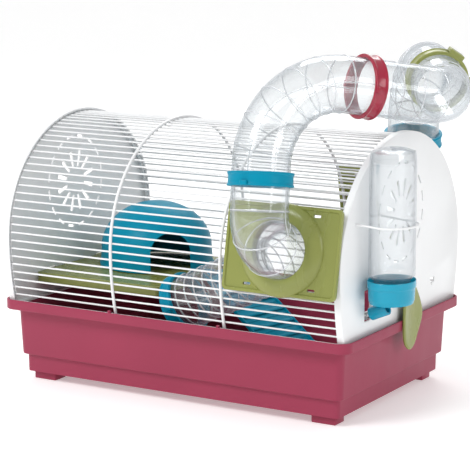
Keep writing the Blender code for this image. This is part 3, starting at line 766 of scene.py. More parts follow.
def wire_recipe() -> Recipe:
    """Straight round wires along X, one on each point, as long as the point's own span."""
    inputs = {"Wire Radius": ("Float", 0.001), "Sides": ("Int", 10), "Seed": ("Int", SEED),
              "Material": ("Material", None)}
    r = Recipe("hood_wires", inputs)
    bar = r.node("GeometryNodeMeshCylinder", {},
                 {"Vertices": r.given["Sides"], "Radius": r.given["Wire Radius"],
                  "Depth": 1.0})
    lie = r.node("GeometryNodeTransform", {}, {0: bar.outputs[0], "Rotation": (0.0, math.pi / 2, 0.0)})
    span = r.node("GeometryNodeInputNamedAttribute", {}, {"Name": "span"})
    size = r.node("ShaderNodeCombineXYZ", {}, {0: span.outputs[0], 1: 1.0, 2: 1.0})
    wires = r.node("GeometryNodeInstanceOnPoints", {},
                   {0: r.given[0], 2: lie.outputs[0], "Scale": size.outputs[0]})
    return r.close(wires.outputs[0])


def bar_recipe() -> Recipe:
    """Round bar bent along each line of edges, repeated at an even pitch along X."""
    inputs = {"Bar Radius": ("Float", 0.0015), "Sides": ("Int", 14), "Count": ("Int", 1),
              "Pitch": ("Float", 0.0),
              "Material": ("Material", None)}
    r = Recipe("bent_bar", inputs)
    path = r.node("GeometryNodeMeshToCurve", {}, {0: r.given[0]})
    ring = r.node("GeometryNodeCurvePrimitiveCircle", {},
                  {0: r.given["Sides"], "Radius": r.given["Bar Radius"]})
    bar = r.node("GeometryNodeCurveToMesh", {}, {0: path.outputs[0], 1: ring.outputs[0], "Fill Caps": True})
    step = r.node("ShaderNodeCombineXYZ", {}, {0: r.given["Pitch"]})
    spots = r.node("GeometryNodeMeshLine", {}, {"Count": r.given["Count"], "Offset": step.outputs[0]})
    bars = r.node("GeometryNodeInstanceOnPoints", {}, {0: spots.outputs[0], 2: bar.outputs[0]})
    return r.close(bars.outputs[0])


def tube_recipe() -> Recipe:
    """Hollow tube along a path; each point's girth and bore set the two radii."""
    inputs = {"Sides": ("Int", 56), "Weld": ("Float", 0.00002), "Material": ("Material", None)}
    r = Recipe("hollow_tube", inputs)
    path = r.node("GeometryNodeMeshToCurve", {}, {0: r.given[0]})
    ring = r.node("GeometryNodeCurvePrimitiveCircle", {}, {0: r.given["Sides"], "Radius": 1.0})
    walls = []
    for label in ("girth", "bore"):
        size = r.node("GeometryNodeInputNamedAttribute", {}, {"Name": label})
        wall = r.node("GeometryNodeCurveToMesh", {},
                      {0: path.outputs[0], 1: ring.outputs[0], "Scale": size.outputs[0]})
        walls.append(wall.outputs[0])
    inside = r.node("GeometryNodeFlipFaces", {}, {0: walls[1]})
    both = r.node("GeometryNodeJoinGeometry")
    r.tree.links.new(walls[0], both.inputs[0])
    r.tree.links.new(inside.outputs[0], both.inputs[0])
    weld = r.node("GeometryNodeMergeByDistance", {}, {0: both.outputs[0], "Distance": r.given["Weld"]})
    return r.close(weld.outputs[0])


def rib_recipe() -> Recipe:
    """Thin round ribs square to a path, evenly spaced between two fractions of its length."""
    inputs = {"Count": ("Int", 5), "Start": ("Float", 0.1), "End": ("Float", 0.9),
              "Ring Radius": ("Float", TUBE_R),
              "Rib Radius": ("Float", 0.0007), "Material": ("Material", None)}
    r = Recipe("rib_rings", inputs)
    path = r.node("GeometryNodeMeshToCurve", {}, {0: r.given[0]})
    part = r.node("GeometryNodeTrimCurve", {}, {0: path.outputs[0], 2: r.given["Start"], 3: r.given["End"]})
    spots = r.node("GeometryNodeCurveToPoints", {}, {0: part.outputs[0], "Count": r.given["Count"]})
    turn = r.node("FunctionNodeAlignRotationToVector", {"axis": "Z"}, {"Vector": spots.outputs["Tangent"]})
    hoop = r.node("GeometryNodeCurvePrimitiveCircle", {}, {0: 64, "Radius": r.given["Ring Radius"]})
    thin = r.node("GeometryNodeCurvePrimitiveCircle", {}, {0: 8, "Radius": r.given["Rib Radius"]})
    ring = r.node("GeometryNodeCurveToMesh", {}, {0: hoop.outputs[0], 1: thin.outputs[0]})
    rings = r.node("GeometryNodeInstanceOnPoints", {}, {0: spots.outputs[0], 2: ring.outputs[0],
                                                       "Rotation": turn.outputs[0]})
    return r.close(rings.outputs[0])


def row_recipe() -> Recipe:
    """Copies of one small mesh along a straight row."""
    inputs = {"Count": ("Int", 8), "Step": ("Vector", (0.0, 0.0, 0.0)), "Material": ("Material", None)}
    r = Recipe("row_of_parts", inputs)
    spots = r.node("GeometryNodeMeshLine", {}, {"Count": r.given["Count"], "Offset": r.given["Step"]})
    copies = r.node("GeometryNodeInstanceOnPoints", {}, {0: spots.outputs[0], 2: r.given[0]})
    return r.close(copies.outputs[0])


@dataclass
class Recipes:
    """The node groups, made once."""

    wires: Recipe = field(default_factory=wire_recipe)
    bars: Recipe = field(default_factory=bar_recipe)
    tubes: Recipe = field(default_factory=tube_recipe)
    ribs: Recipe = field(default_factory=rib_recipe)
    rows: Recipe = field(default_factory=row_recipe)


NODES = Recipes()


def bent_bar(name: str, lines: Sequence, radius: float, finish: str, sides: int = 14, count: int = 1,
             pitch: float = 0.0) -> bpy.types.Object:
    """Round bars along lines of points.

    Args:
        name: Object name.
        lines: One or more lines of points.
        radius: Bar radius.
        finish: Finish name.
        sides: Sides round the bar.
        count: Copies along X.
        pitch: Distance between copies.

    Returns:
        The baked object.
    """
    verts, edges = [], []
    for line in lines:
        first = len(verts)
        verts.extend(line)
        edges.extend((first + k, first + k + 1) for k in range(len(line) - 1))
    obj = blank(name, verts, edges)
    values = {"Bar Radius": radius, "Sides": sides, "Count": count, "Pitch": pitch,
              "Material": FINISH[finish]}
    return NODES.bars.grow(obj, values)


def filleted(points: Sequence[Vector], radius: float, step: float = 0.0010) -> list[np.ndarray]:
    """Even points along straight runs joined by true arcs.

    Args:
        points: Corner points.
        radius: Arc radius at each inner corner.
        step: Spacing of the new points.

    Returns:
        The points.
    """
    pts = [Vector(p) for p in points]
    line = [pts[0]]
    for before, here, after in zip(pts, pts[1:], pts[2:]):
        a, b = (before - here).normalized(), (after - here).normalized()
        half = a.angle(b) / 2
        reach = radius / math.tan(half)
        middle = here + (a + b).normalized() * (radius / math.sin(half))
        start, end = here + a * reach - middle, here + b * reach - middle
        turn = start.angle(end)
        axis = start.cross(end).normalized()
        for k in range(41):
            line.append(middle + Matrix.Rotation(turn * k / 40, 3, axis) @ start)
    line.append(pts[-1])
    total = sum((q - p).length for p, q in zip(line, line[1:]))
    return even([tuple(p) for p in line], max(8, int(total / step)))


@dataclass
class Tube:
    """One clear tube with raised ribs at even spacing and two lengthways seams."""

    name: str
    corners: Sequence[Vector]
    bend: float
    ribs: int = 5
    first: float = 0.14
    last: float = 0.86
    rib_radius: float = 0.00075
    seam: bool = False

    def build(self) -> list[bpy.types.Object]:
        """Sweep the tube, its ribs and seams, and put them on the cage top."""
        line = filleted(self.corners, self.bend)
        first = line[0] + (line[1] - line[0]) * 0.08
        last = line[-1] + (line[-2] - line[-1]) * 0.08
        path = [line[0], first, *line[1:-1], last, line[-1]]
        bore = np.full(len(path), TUBE_R - TUBE_WALL)
        girth = np.full(len(path), TUBE_R)
        girth[[0, -1]] = bore[0]
        obj = blank(self.name + "_clear", path, [(k, k + 1) for k in range(len(path) - 1)])
        for label, values in (("girth", girth), ("bore", bore)):
            layer = obj.data.attributes.new(label, "FLOAT", "POINT")
            layer.data.foreach_set("value", np.asarray(values, np.float32))
        NODES.tubes.grow(obj, {"Sides": 72, "Material": FINISH["tube_clear"]})
        place(outward(obj), "tube_clear", Body.TOP, self.name, angle=50)
        rings = blank(self.name + "_ribs", line, [(k, k + 1) for k in range(len(line) - 1)])
        NODES.ribs.grow(rings,
                        {"Count": self.ribs, "Start": self.first, "End": self.last,
                         "Ring Radius": TUBE_R - 0.0001,
                         "Rib Radius": self.rib_radius, "Material": FINISH["rib_clear"]})
        if self.seam:
            a, b, c = (Vector(p) for p in self.corners)
            off = (b - a).cross(c - b).normalized() * (TUBE_R - 0.0001)
            lines = [[tuple(Vector(p) + off * sign) for p in line[2:-2]] for sign in (-1, 1)]
            join(rings, bent_bar("seam", lines, 0.0005, "rib_clear", 8))
        return [obj, place(rings, "rib_clear", Body.TOP, angle=60)]


# ---- the sub-assemblies --------------------------------------------------------------------------------
@dataclass
class Tray:
    """Deep moulded tray with a rolled rim, a stepped foot and four pads."""

    corner: float = 0.0140
    lip: float = 0.0018

    def build(self) -> list[bpy.types.Object]:
        """Make the tray shell and the rim's small clips."""
        rim_low = RIM_TOP - 0.0110
        outline = ((0.0185, 0.0092), (0.0182, STEP_Z), (0.0136, STEP_Z + 0.0012), (0.0113, rim_low),
                   (0.0, rim_low),
                   (0.0, RIM_TOP), (self.lip, RIM_TOP), (self.lip, LEDGE), (0.0133, LEDGE),
                   (0.0156, STEP_Z + 0.0030), (0.0205, STEP_Z + 0.0012), (0.0207, FLOOR_Z))
        rings = []
        for inset, z in rounded(outline, 0.0011, 3):
            radius = max(0.004, self.corner - 0.45 * inset)
            flat = rect_loop(HALF_X - inset, HALF_Y - inset, radius, 10)
            rings.append([(MID_X + x, MID_Y + y, z) for x, y in flat])
        shell = skin("tray_shell", rings)
        feet = []
        for sx in (-1, 1):
            for sy in (-1, 1):
                xs = sorted((MID_X + sx * (HALF_X - 0.0245), MID_X + sx * (HALF_X - 0.052)))
                ys = sorted((MID_Y + sy * (HALF_Y - 0.0245), MID_Y + sy * (HALF_Y - 0.044)))
                feet.append(soften(box("pad", (xs[0], ys[0], 0.0), (xs[1], ys[1], 0.0100)), 0.0010))
        shell = join(shell, *feet)
        clips = []
        for sx in (-1, 1):
            for sy in (-1, 1):
                x = MID_X + sx * HOOP_X
                y = MID_Y + sy * (HALF_Y - 0.0008)
                ys = sorted((y, y - sy * 0.0036))
                clips.append(soften(box("clip", (x - 0.0062, ys[0], RIM_TOP - 0.006),
                                        (x - 0.0030, ys[1], RIM_TOP + 0.0022)), 0.0007))
        clips = join(clips[0], *clips[1:])
        clips.name = "rim_clips"
        return [place(shell, "tray_gloss", Body.TRAY, "base_tray"), place(clips, "tray_gloss", Body.TRAY)]


@dataclass
class EndPanel:
    """Pressed steel end panel with a return flange and punched slots."""

    side: int
    slots: int = 12
    dashes: int = 16

    def slot_tool(self, angle: float, near: float, far: float, near_half: float,
                  far_half: float) -> bpy.types.Object:
        """Cutter with eased corners that points away from the pattern's middle."""
        y0, z0 = MID_Y - 0.006, ARCH_MID + ARCH_B * 0.36
        aim = np.array([math.cos(angle), math.sin(angle)])
        across = np.array([-aim[1], aim[0]])
        shape = closed_profile(((near, -near_half), (far, -far_half), (far, far_half), (near, near_half)),
                               0.0011, 3)
        loop = [aim * along + across * side for along, side in shape]
        x = MID_X + self.side * PANEL_X
        return skin("slot", [[(x + dx, y0 + p[0], z0 + p[1]) for p in loop] for dx in (-0.006, 0.006)])

    def build(self) -> list[bpy.types.Object]:
        """Make the panel."""
        word = "right" if self.side > 0 else "left"
        lip = PANEL_X - FLANGE
        outer = arch_line(ARCH_A, ARCH_BASE)
        inner = arch_line(ARCH_A - PANEL_T, ARCH_BASE + PANEL_T)
        small = arch_line(ARCH_A - 0.0004, ARCH_BASE + 0.0004)
        least = arch_line(ARCH_A - 0.0012, ARCH_BASE + 0.0012)
        stations = ((PANEL_X - PANEL_T, inner), (lip + 0.0003, inner), (lip, small), (lip + 0.0003, outer),
                    (PANEL_X - 0.0012, outer), (PANEL_X - 0.0004, small), (PANEL_X, least))
        rings = [[(MID_X + self.side * x, MID_Y + y, z) for y, z in line] for x, line in stations]
        panel = skin(word + "_panel", rings)
        tools = []
        for k in range(self.slots):
            turn = 2 * math.pi * (k + 0.5) / self.slots
            tools.append(self.slot_tool(turn, FAN_R * 0.32, FAN_R * 0.68, 0.0018, 0.0026))
        for k in range(self.dashes):
            turn = 2 * math.pi * (k + 0.5) / self.dashes
            tools.append(self.slot_tool(turn, FAN_R - 0.0014, FAN_R + 0.0014, 0.0058, 0.0058))
        face = MID_X + self.side * PANEL_X
        if self.side > 0:
            y = MID_Y - 0.1362 * 0.587
            tools.append(box("way", (face - 0.006, y - 0.0070, 0.1033), (face + 0.006, y + 0.0070, 0.1353)))
            back = MID_Y + HALF_Y * 0.50
            tools.append(box("way", (face - 0.006, back, RIM_TOP + 0.0240),
                             (face + 0.006, back + 0.0100, RIM_TOP + 0.0300)))
        else:
            for y in (-0.055, 0.040):
                tools.append(box("way", (face - 0.006, y - 0.008, 0.1060), (face + 0.006, y + 0.008, 0.1130)))
        cut(panel, tools)
        bosses = []
        for sy in (-1, 1):
            xs = sorted((face - self.side * 0.0008, face + self.side * BOSS_OUT))
            bosses.append(soften(box("boss", (xs[0], MID_Y + sy * BOSS_SPAN - BOSS_HALF, BOSS_LOW),
                                     (xs[1], MID_Y + sy * BOSS_SPAN + BOSS_HALF, BOSS_HIGH)), 0.0006))
        if self.side > 0:
            bosses.append(soften(box("tongue", (face - 0.0012, back + 0.0026, RIM_TOP + 0.0216),
                                     (face + 0.0012, back + 0.0074, RIM_TOP + 0.0252)), 0.0004))
        join(panel, *bosses)
        return [place(panel, "white_enamel", Body.TOP, word + "_end_panel", angle=30)]


@dataclass
class Hood:
    """Round wires along the cage over bent hoops."""

    wire_radius: float = 0.00098
    hoop_radius: float = 0.0016

    def build(self) -> list[bpy.types.Object]:
        """Make the wires and the hoops."""
        line = even(arch_line(HOOD_OUT - 0.0011, LEDGE + 0.0045, 300), WIRE_COUNT)
        clear = TUBE_R + 0.0038
        gaps = {-1: (PLATE_X - clear, PLATE_X + clear), 1: (REAR_PLATE_X - clear, REAR_PLATE_X + clear)}
        ends = (MID_X - HOOD_END, MID_X + HOOD_END)
        spots, spans = [], []
        for y, z in line:
            runs = [ends]
            if abs(z - PLATE_Z) < TUBE_R + 0.004:
                gap = gaps[-1 if y < 0 else 1]
                runs = [(ends[0], gap[0]), (gap[1], ends[1])]
            for low, high in runs:
                spots.append(((low + high) / 2, MID_Y + y, z))
                spans.append(high - low)
        wires = blank("hood_wires", spots)
        layer = wires.data.attributes.new("span", "FLOAT", "POINT")
        layer.data.foreach_set("value", np.array(spans, np.float32))
        NODES.wires.grow(wires, {"Wire Radius": self.wire_radius, "Sides": 12, "Seed": SEED,
                                 "Material": FINISH["wire_enamel"]})
        place(wires, "wire_enamel", Body.TOP, "wire_hood", angle=60)
        over = arch_line(HOOD_OUT + 0.0010, LEDGE + 0.0006, 120)
        hooks = []
        for turn in (math.radians(52), math.radians(80)):
            top = ARCH_B + HOOD_OUT - ARCH_A
            at = Vector((MID_X - HOOP_X, MID_Y - HOOD_OUT * math.cos(turn), ARCH_MID + top * math.sin(turn)))
            out_way = Vector((0.0, -math.cos(turn), math.sin(turn)))
            loop = [at + Vector((0.0045 * math.sin(a), 0, 0))
                    + out_way * (0.0014 - 0.0030 * (1 - math.cos(a)))
                    for a in np.linspace(0.0, math.radians(250), 14)]
            hooks.append(loop)
        hook_bars = bent_bar("hood_hooks", hooks, 0.0007, "wire_enamel", 10)
        place(hook_bars, "wire_enamel", Body.TOP, angle=60)
        hoops = bent_bar("hood_hoops", [[(MID_X - HOOP_X, MID_Y + y, z) for y, z in over]], self.hoop_radius,
                         "wire_enamel", 16, 2, HOOP_X * 2)
        place(hoops, "wire_enamel", Body.TOP, angle=60)
        under = arch_line(HOOD_OUT - 0.0030, LEDGE + 0.0006, 120)
        ends_bar = bent_bar("hood_end_hoops", [[(MID_X - HOOD_END + 0.002, MID_Y + y, z) for y, z in under]],
                            0.0013,
                            "wire_enamel", 12, 2, HOOD_END * 2 - 0.004)
        place(ends_bar, "wire_enamel", Body.TOP, angle=60)
        stays = []
        near = [(y, z) for y, z in under if abs(z - PLATE_Z) < PLATE_H * 0.45]
        for sign in (-1, 1):
            part = [(y, z) for y, z in near if y * sign > 0]
            stays.append([(gaps[sign][0] - 0.001, MID_Y + y, z) for y, z in part])
        frame_bars = bent_bar("opening_stays", stays, 0.0012, "wire_enamel", 12, 2, clear * 2 + 0.002)
        place(frame_bars, "wire_enamel", Body.TOP, angle=60)
        return [wires, hoops, hook_bars, ends_bar, frame_bars]


def plate_axes(side: int) -> tuple[Vector, Vector, Vector]:
    """Middle, outward direction and uphill direction of a tube plate."""
    y = arch_y(PLATE_Z, ARCH_A)
    lean = math.atan2((PLATE_Z - ARCH_MID) / ARCH_B ** 2, y / ARCH_A ** 2)
    centre = Vector((PLATE_X if side < 0 else REAR_PLATE_X, MID_Y + side * y, PLATE_Z))
    normal = Vector((0.0, side * math.cos(lean), math.sin(lean)))
    uphill = Vector((0.0, -side * math.sin(lean), math.cos(lean)))
    return centre, normal, uphill


@dataclass
class TubePlate:
    """Moulded plate with a rolled edge and a rounded collar for a tube."""

    side: int

    def build(self) -> list[bpy.types.Object]:
        """Make the plate."""
        word = "front" if self.side < 0 else "rear"
        centre, normal, uphill = plate_axes(self.side)
        across = Vector((1, 0, 0))
        back = 0.0006
        stations = ((0.0, back), (0.0, back + 0.0030), (0.0008, back + 0.0040), (0.0030, back + 0.0040),
                    (0.0040, back + 0.0024))
        rings = []
        for inset, out in stations:
            flat = rect_loop(PLATE_W / 2 - inset, PLATE_H / 2 - inset, 0.0055 - inset * 0.6, 8)
            rings.append([centre + across * x + uphill * y + normal * out for x, y in flat])
        slab = skin(word + "_plate_slab", rings)
        u, v = square_to(normal)
        hole = [[centre + normal * t + (u * math.cos(a) + v * math.sin(a)) * (TUBE_R + 0.0006)
                 for a in np.linspace(0, 2 * math.pi, 72, endpoint=False)] for t in (-0.02, 0.02)]
        tools = [skin("hole", hole)]
        for sx in (-1, 1):
            for sy in (-1, 1):
                spot = centre + across * (sx * 0.036) + uphill * (sy * (PLATE_H / 2 - 0.0085))
                loop = rect_loop(0.0042, 0.0014, 0.0006, 3)
                tools.append(skin("slot", [[spot + across * x + uphill * y + normal * t for x, y in loop]
                                           for t in (-0.01, 0.01)]))
        cut(slab, tools)
        dome = [(0.0010 + 0.0095 * math.sin(t), TUBE_R + 0.0020 + (COLLAR_R + 0.0030 - TUBE_R) * math.cos(t))
                for t in np.linspace(0.0, math.pi / 2, 14)]
        collar = [(0.0010, TUBE_R + 0.0002), *dome, (0.0098, TUBE_R + 0.0008), (0.0080, TUBE_R + 0.0002)]
        ring = turned("collar", centre, normal, collar, 96)
        join(slab, ring)
        slab.name = word + "_plate_green"
        return [place(slab, "olive_gloss", Body.TOP, word + "_plate", angle=32)]


@dataclass
class TwistRing:
    """Bayonet ring with a bead at each edge and two lugs."""

    name: str
    body: Body
    node: str
    centre: Vector
    axis: Vector
    finish: str
    block: bool = False

    def build(self) -> list[bpy.types.Object]:
        """Make the ring and its lugs."""
        half = RING_W / 2
        hole = TUBE_R + 0.0003
        profile = ((-half, hole), (-half, RING_R - 0.0002), (-half + 0.0016, RING_R + 0.0002),
                   (-half + 0.0030, RING_R - 0.0009), (half - 0.0030, RING_R - 0.0009),
                   (half - 0.0016, RING_R + 0.0002), (half, RING_R - 0.0002), (half, hole))
        ring = turned(self.name, self.centre, self.axis, closed_profile(profile, 0.0007, 4), 96)
        axis = Vector(self.axis).normalized()
        u, v = square_to(axis)
        lugs = []
        for sign in (-1, 1):
            middle = Vector(self.centre) + u * sign * (RING_R + 0.0006) - axis * (half - 0.0028)
            flat = rect_loop(0.0022, 0.0036, 0.0012, 4)
            lugs.append(soften(skin("lug", [[middle + u * x + v * y + axis * t for x, y in flat]
                                            for t in (-0.0022, 0.0022)]), 0.0006))
        if self.block:
            middle = Vector(self.centre) + (u * 0.55 - v * 0.83) * (RING_R + 0.0014)
            lean = (u * 0.55 - v * 0.83).normalized()
            flat = rect_loop(0.0024, 0.0085, 0.0010, 4)
            side = axis.cross(lean).normalized()
            lugs.append(soften(skin("tab", [[middle + lean * x + side * y + axis * t for x, y in flat]
                                            for t in (-half, half)]), 0.0008))
        join(ring, *lugs)
        return [place(ring, self.finish, self.body, self.node, angle=40)]


@dataclass
class Shelf:
    """Moulded green shelf with a hanging skirt and panel tabs."""

    skirt: float = 0.0100

    def build(self) -> list[bpy.types.Object]:
        """Make the shelf."""
        low, high = SHELF_BOX
        x0 = MID_X - PANEL_X + PANEL_T + 0.0005
        middle = ((x0 + high.x) / 2, (low.y + high.y) / 2)
        half = ((high.x - x0) / 2, (high.y - low.y) / 2)
        top = high.z
        outline = ((0.0, top - self.skirt), (0.0, top), (0.0040, top), (0.0046, top - 0.0006),
                   (0.010, top - 0.0006))
        rings = []
        for inset, z in rounded(outline, 0.0014, 4):
            flat = rect_loop(half[0] - inset, half[1] - inset, max(0.002, 0.006 - inset), 8)
            rings.append([(middle[0] + x, middle[1] + y, z) for x, y in flat])
        under = []
        for inset, z in ((0.010, top - 0.0024), (0.0020, top - 0.0024), (0.0020, top - self.skirt)):
            flat = rect_loop(half[0] - inset, half[1] - inset, max(0.002, 0.005 - inset), 8)
            under.append([(middle[0] + x, middle[1] + y, z) for x, y in flat])
        shell = skin("shelf_shell", rings + under, loop=True)
        infill = []
        flat = rect_loop(half[0] - 0.0100, half[1] - 0.0100, 0.002, 8)
        for z in (top - 0.0024, top - 0.0006):
            infill.append([(middle[0] + x, middle[1] + y, z) for x, y in flat])
        parts = [skin("deck", infill)]
        for y in (-0.055, 0.040):
            parts.append(soften(box("tab", (low.x, y - 0.0070, top - 0.0050), (x0 + 0.003, y + 0.0070, top)),
                                0.0007))
        join(shell, *parts)
        return [place(shell, "olive_gloss", Body.TOP, "shelf", angle=35)]


@dataclass
class Igloo:
    """Domed sleeping house with an arched door."""

    wall: float = 0.0022

    def build(self) -> list[bpy.types.Object]:
        """Make the house and its door."""
        low, high = IGLOO_BOX
        cx, cy = (low.x + high.x) / 2, (low.y + high.y) / 2
        base, height = low.z, high.z - low.z
        radius = (high.y - low.y) / 2
        side = height * 0.28
        outer, inner = [(0.0, radius), (0.0022, radius), (0.0030, radius * 0.985), (side, radius * 0.97)], []
        for k in range(1, 22):
            t = math.radians(90 * k / 22)
            outer.append((side + (height - side) * math.sin(t), radius * 0.97 * math.cos(t)))
        for along, size in reversed(outer):
            inner.append((max(0.0, along - self.wall * (along / height)), max(0.0005, size - self.wall)))
        turns = [2 * math.pi * k / 96 for k in range(96)]
        rings = [[(cx + r * math.cos(t), cy + r * math.sin(t), base + a) for t in turns] for a, r in outer]
        lining = [[(cx + r * math.cos(t), cy + r * math.sin(t), base + a) for t in turns] for a, r in inner]
        crown = [skin("crown",
                      [rings[-1], [(cx + 0.0004 * math.cos(t), cy + 0.0004 * math.sin(t),
                                    base + height - 0.0001)
                                   for t in turns]])]
        house = skin("igloo_house", rings + lining, loop=True)
        turn = Matrix.Rotation(math.radians(-42), 4, "Z")
        wide = radius * 0.36

        def arch(reach: float, grow: float) -> list[Vector]:
            """Door outline at one distance from the middle."""
            pts = [(-wide - grow, -0.004), (wide + grow, -0.004), (wide + grow, height * 0.30)]
            for k in range(1, 18):
                t = math.radians(180 * k / 18)
                pts.append(((wide + grow) * math.cos(t), height * 0.30 + (wide * 0.95 + grow) * math.sin(t)))
            pts.append((-wide - grow, height * 0.30))
            return [turn @ Vector((reach, y, z)) + Vector((cx, cy, base)) for y, z in pts]

        cut(house, [skin("door", [arch(radius * 0.40, 0.0), arch(radius * 1.3, 0.0)])])
        join(house, *crown)
        return [place(house, "teal_gloss", Body.IGLOO, "igloo", angle=40)]


@dataclass
class Ramp:
    """Treaded ramp with side lips that hooks over the shelf."""

    width: float = 0.074
    slope: float = math.radians(37)
    yaw: float = math.radians(-10)
    treads: int = 9

    def build(self) -> list[bpy.types.Object]:
        """Make the slab, its treads and lips."""
        shelf_low, shelf_high = SHELF_BOX
        hinge = Vector((shelf_high.x + 0.0105, (shelf_low.y + shelf_high.y) / 2 + 0.027,
                        shelf_high.z + 0.0005))
        length = (hinge.z - FLOOR_Z - 0.0030) / math.sin(self.slope)
        turn = Matrix.Rotation(self.yaw, 3, "Z")
        along = turn @ Vector((math.cos(self.slope), 0, -math.sin(self.slope)))
        across = turn @ Vector((0, 1, 0))
        up = along.cross(across).normalized()
        up = up if up.z > 0 else -up

        def bar(name: str, start: float, end: float, y0: float, y1: float, z0: float,
                z1: float) -> bpy.types.Object:
            """Box in the ramp's own directions."""
            flat = ((start, y0), (end, y0), (end, y1), (start, y1))
            return skin(name, [[hinge + along * a + across * y + up * z for a, y in flat] for z in (z0, z1)])

        half = self.width / 2
        slab = soften(bar("ramp_slab", 0.0, length, -half, half, -0.0026, 0.0), 0.0006)
        for sign in (-1, 1):
            edge = sorted((sign * half, sign * (half - 0.0022)))
            join(slab, soften(bar("lip", 0.0006, length - 0.0006, edge[0], edge[1], -0.0020, 0.0018), 0.0007))
        for sy in (-1, 1):
            y = hinge.y + sy * self.width * 0.30
            x0 = shelf_high.x - 0.0060
            x1 = hinge.x + 0.0045 - sy * math.sin(self.yaw) * self.width * 0.30
            low_z, high_z = shelf_high.z + 0.0003, shelf_high.z + 0.0023
            join(slab, soften(box("hook", (x0, y - 0.0055, low_z), (x1, y + 0.0055, high_z)), 0.0006))
            join(slab, soften(box("drop", (x1 - 0.0060, y - 0.0055, low_z - 0.0040),
                                  (x1, y + 0.0055, high_z - 0.0002)),
                              0.0005))
        place(slab, "teal_gloss", Body.RAMP, "ramp")
        step = length / self.treads
        tread = soften(bar("ramp_treads", step * 0.74, step * 0.98, -half + 0.003, half - 0.003, -0.0004,
                           0.0016), 0.0005)
        NODES.rows.grow(tread,
                        {"Count": self.treads - 1, "Step": tuple(along * step),
                         "Material": FINISH["teal_gloss"]})
        place(tread, "teal_gloss", Body.RAMP)
        line = soften(bar("ramp_lines", step * 0.26, step * 0.32, -half + 0.003, half - 0.003, -0.0004,
                          0.0005), 0.0002, 1)
        NODES.rows.grow(line,
                        {"Count": self.treads, "Step": tuple(along * step), "Material": FINISH["teal_gloss"]})
        place(line, "teal_gloss", Body.RAMP)
        return [slab, tread, line]


@dataclass
class Bottle:
    """Clear oval bottle, its cap and spout, and the wire that holds it."""

    sides: int = 72

    def build(self) -> list[bpy.types.Object]:
        """Make every part of the bottle."""
        low, high = BOTTLE_BOX
        cx, cy = (low.x + high.x) / 2, (low.y + high.y) / 2
        rx, ry = (high.x - low.x) / 2, (high.y - low.y) / 2
        top = high.z
        foot = low.z + 0.014

        def oval(scale: float, z: float, extra: float = 0.0) -> list[tuple[float, float, float]]:
            """Oval loop round the bottle's axis."""
            turns = [2 * math.pi * k / self.sides for k in range(self.sides)]
            return [(cx + (rx * scale + extra) * math.cos(t), cy + (ry * scale + extra) * math.sin(t), z)
                    for t in turns]

        outer = [(0.80, foot - 0.0138), (0.80, foot - 0.001), (0.86, foot + 0.0005), (1.0, foot + 0.0045),
                 (1.0, top - 0.012), (0.94, top - 0.0030), (0.60, top - 0.0002), (0.05, top)]
        outer = rounded(outer, 0.0045, 8)
        inner = [(max(0.02, s - 0.055), z - (0.0012 if z > top - 0.014 else -0.0002))
                 for s, z in reversed(outer)]
        rings = [oval(s, z) for s, z in outer + inner]
        glass = place(skin("bottle_shell", rings, loop=True), "bottle_clear", Body.BOTTLE, "bottle", angle=50)
        cap_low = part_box("bottle_cap")[0].z
        profile = ((0.62, foot - 0.0245), (0.94, foot - 0.0240), (0.99, foot - 0.0205), (1.01, foot - 0.0085),
                   (1.05, foot - 0.0070), (1.05, foot - 0.0012), (1.035, foot - 0.0004),
                   (1.005, foot - 0.0014), (0.99, foot - 0.0060), (0.83, foot - 0.0060),
                   (0.82, foot - 0.0145))
        cap = skin("bottle_cap_shell", [oval(s, z) for s, z in rounded(profile, 0.0010, 4)])
        start = Vector((cx - 0.0040, cy, cap_low + 0.0060))
        aim = (Vector((MID_X + PANEL_X - 0.010, cy, 0.1053)) - start).normalized()
        neck = turned("neck", start, aim, closed_profile(((0.0, 0.0043), (0.0, 0.0068), (0.020, 0.0068),
                                                          (0.020, 0.0043)), 0.0010, 3), 40)
        join(cap, neck)
        place(cap, "pale_teal_gloss", Body.BOTTLE, "bottle_cap", angle=40)
        spout = turned("spout_steel_tube", start, aim, closed_profile(((0.0065, 0.0032), (0.0065, 0.0040),
                       (0.034, 0.0040), (0.0375, 0.0034), (0.0375, 0.0026), (0.034, 0.0032)), 0.0003, 3), 40)
        place(spout, "spout_steel", Body.BOTTLE, "spout_tube")
        centre = start + aim * 0.0337
        u, v = square_to(aim)
        rings = []
        for k in range(1, 20):
            t = math.pi * k / 20
            size = 0.0027 * math.sin(t)
            middle = centre - aim * (0.0027 * math.cos(t))
            rings.append([middle + (u * math.cos(a) + v * math.sin(a)) * size
                          for a in np.linspace(0, 2 * math.pi, 28, endpoint=False)])
        ball = place(skin("spout_ball_steel", rings), "spout_steel", Body.BALL, "spout_ball")
        reach_x, reach_y, z = rx + 0.0022, ry + 0.0022, foot + 0.0546
        face = MID_X + PANEL_X
        knots = [(face + 0.0003, cy - reach_y, z + 0.002), (cx, cy - reach_y, z)]
        for k in range(1, 24):
            t = math.pi * k / 24
            knots.append((cx + reach_x * math.sin(t), cy - reach_y * math.cos(t), z))
        knots += [(cx, cy + reach_y, z), (face + 0.0003, cy + reach_y, z + 0.002)]
        bail = bent_bar("bottle_bail_wire", [knots], 0.0011, "wire_enamel", 14)
        place(bail, "wire_enamel", Body.TOP, "bottle_bail", angle=60)
        return [glass, cap, spout, ball, bail]


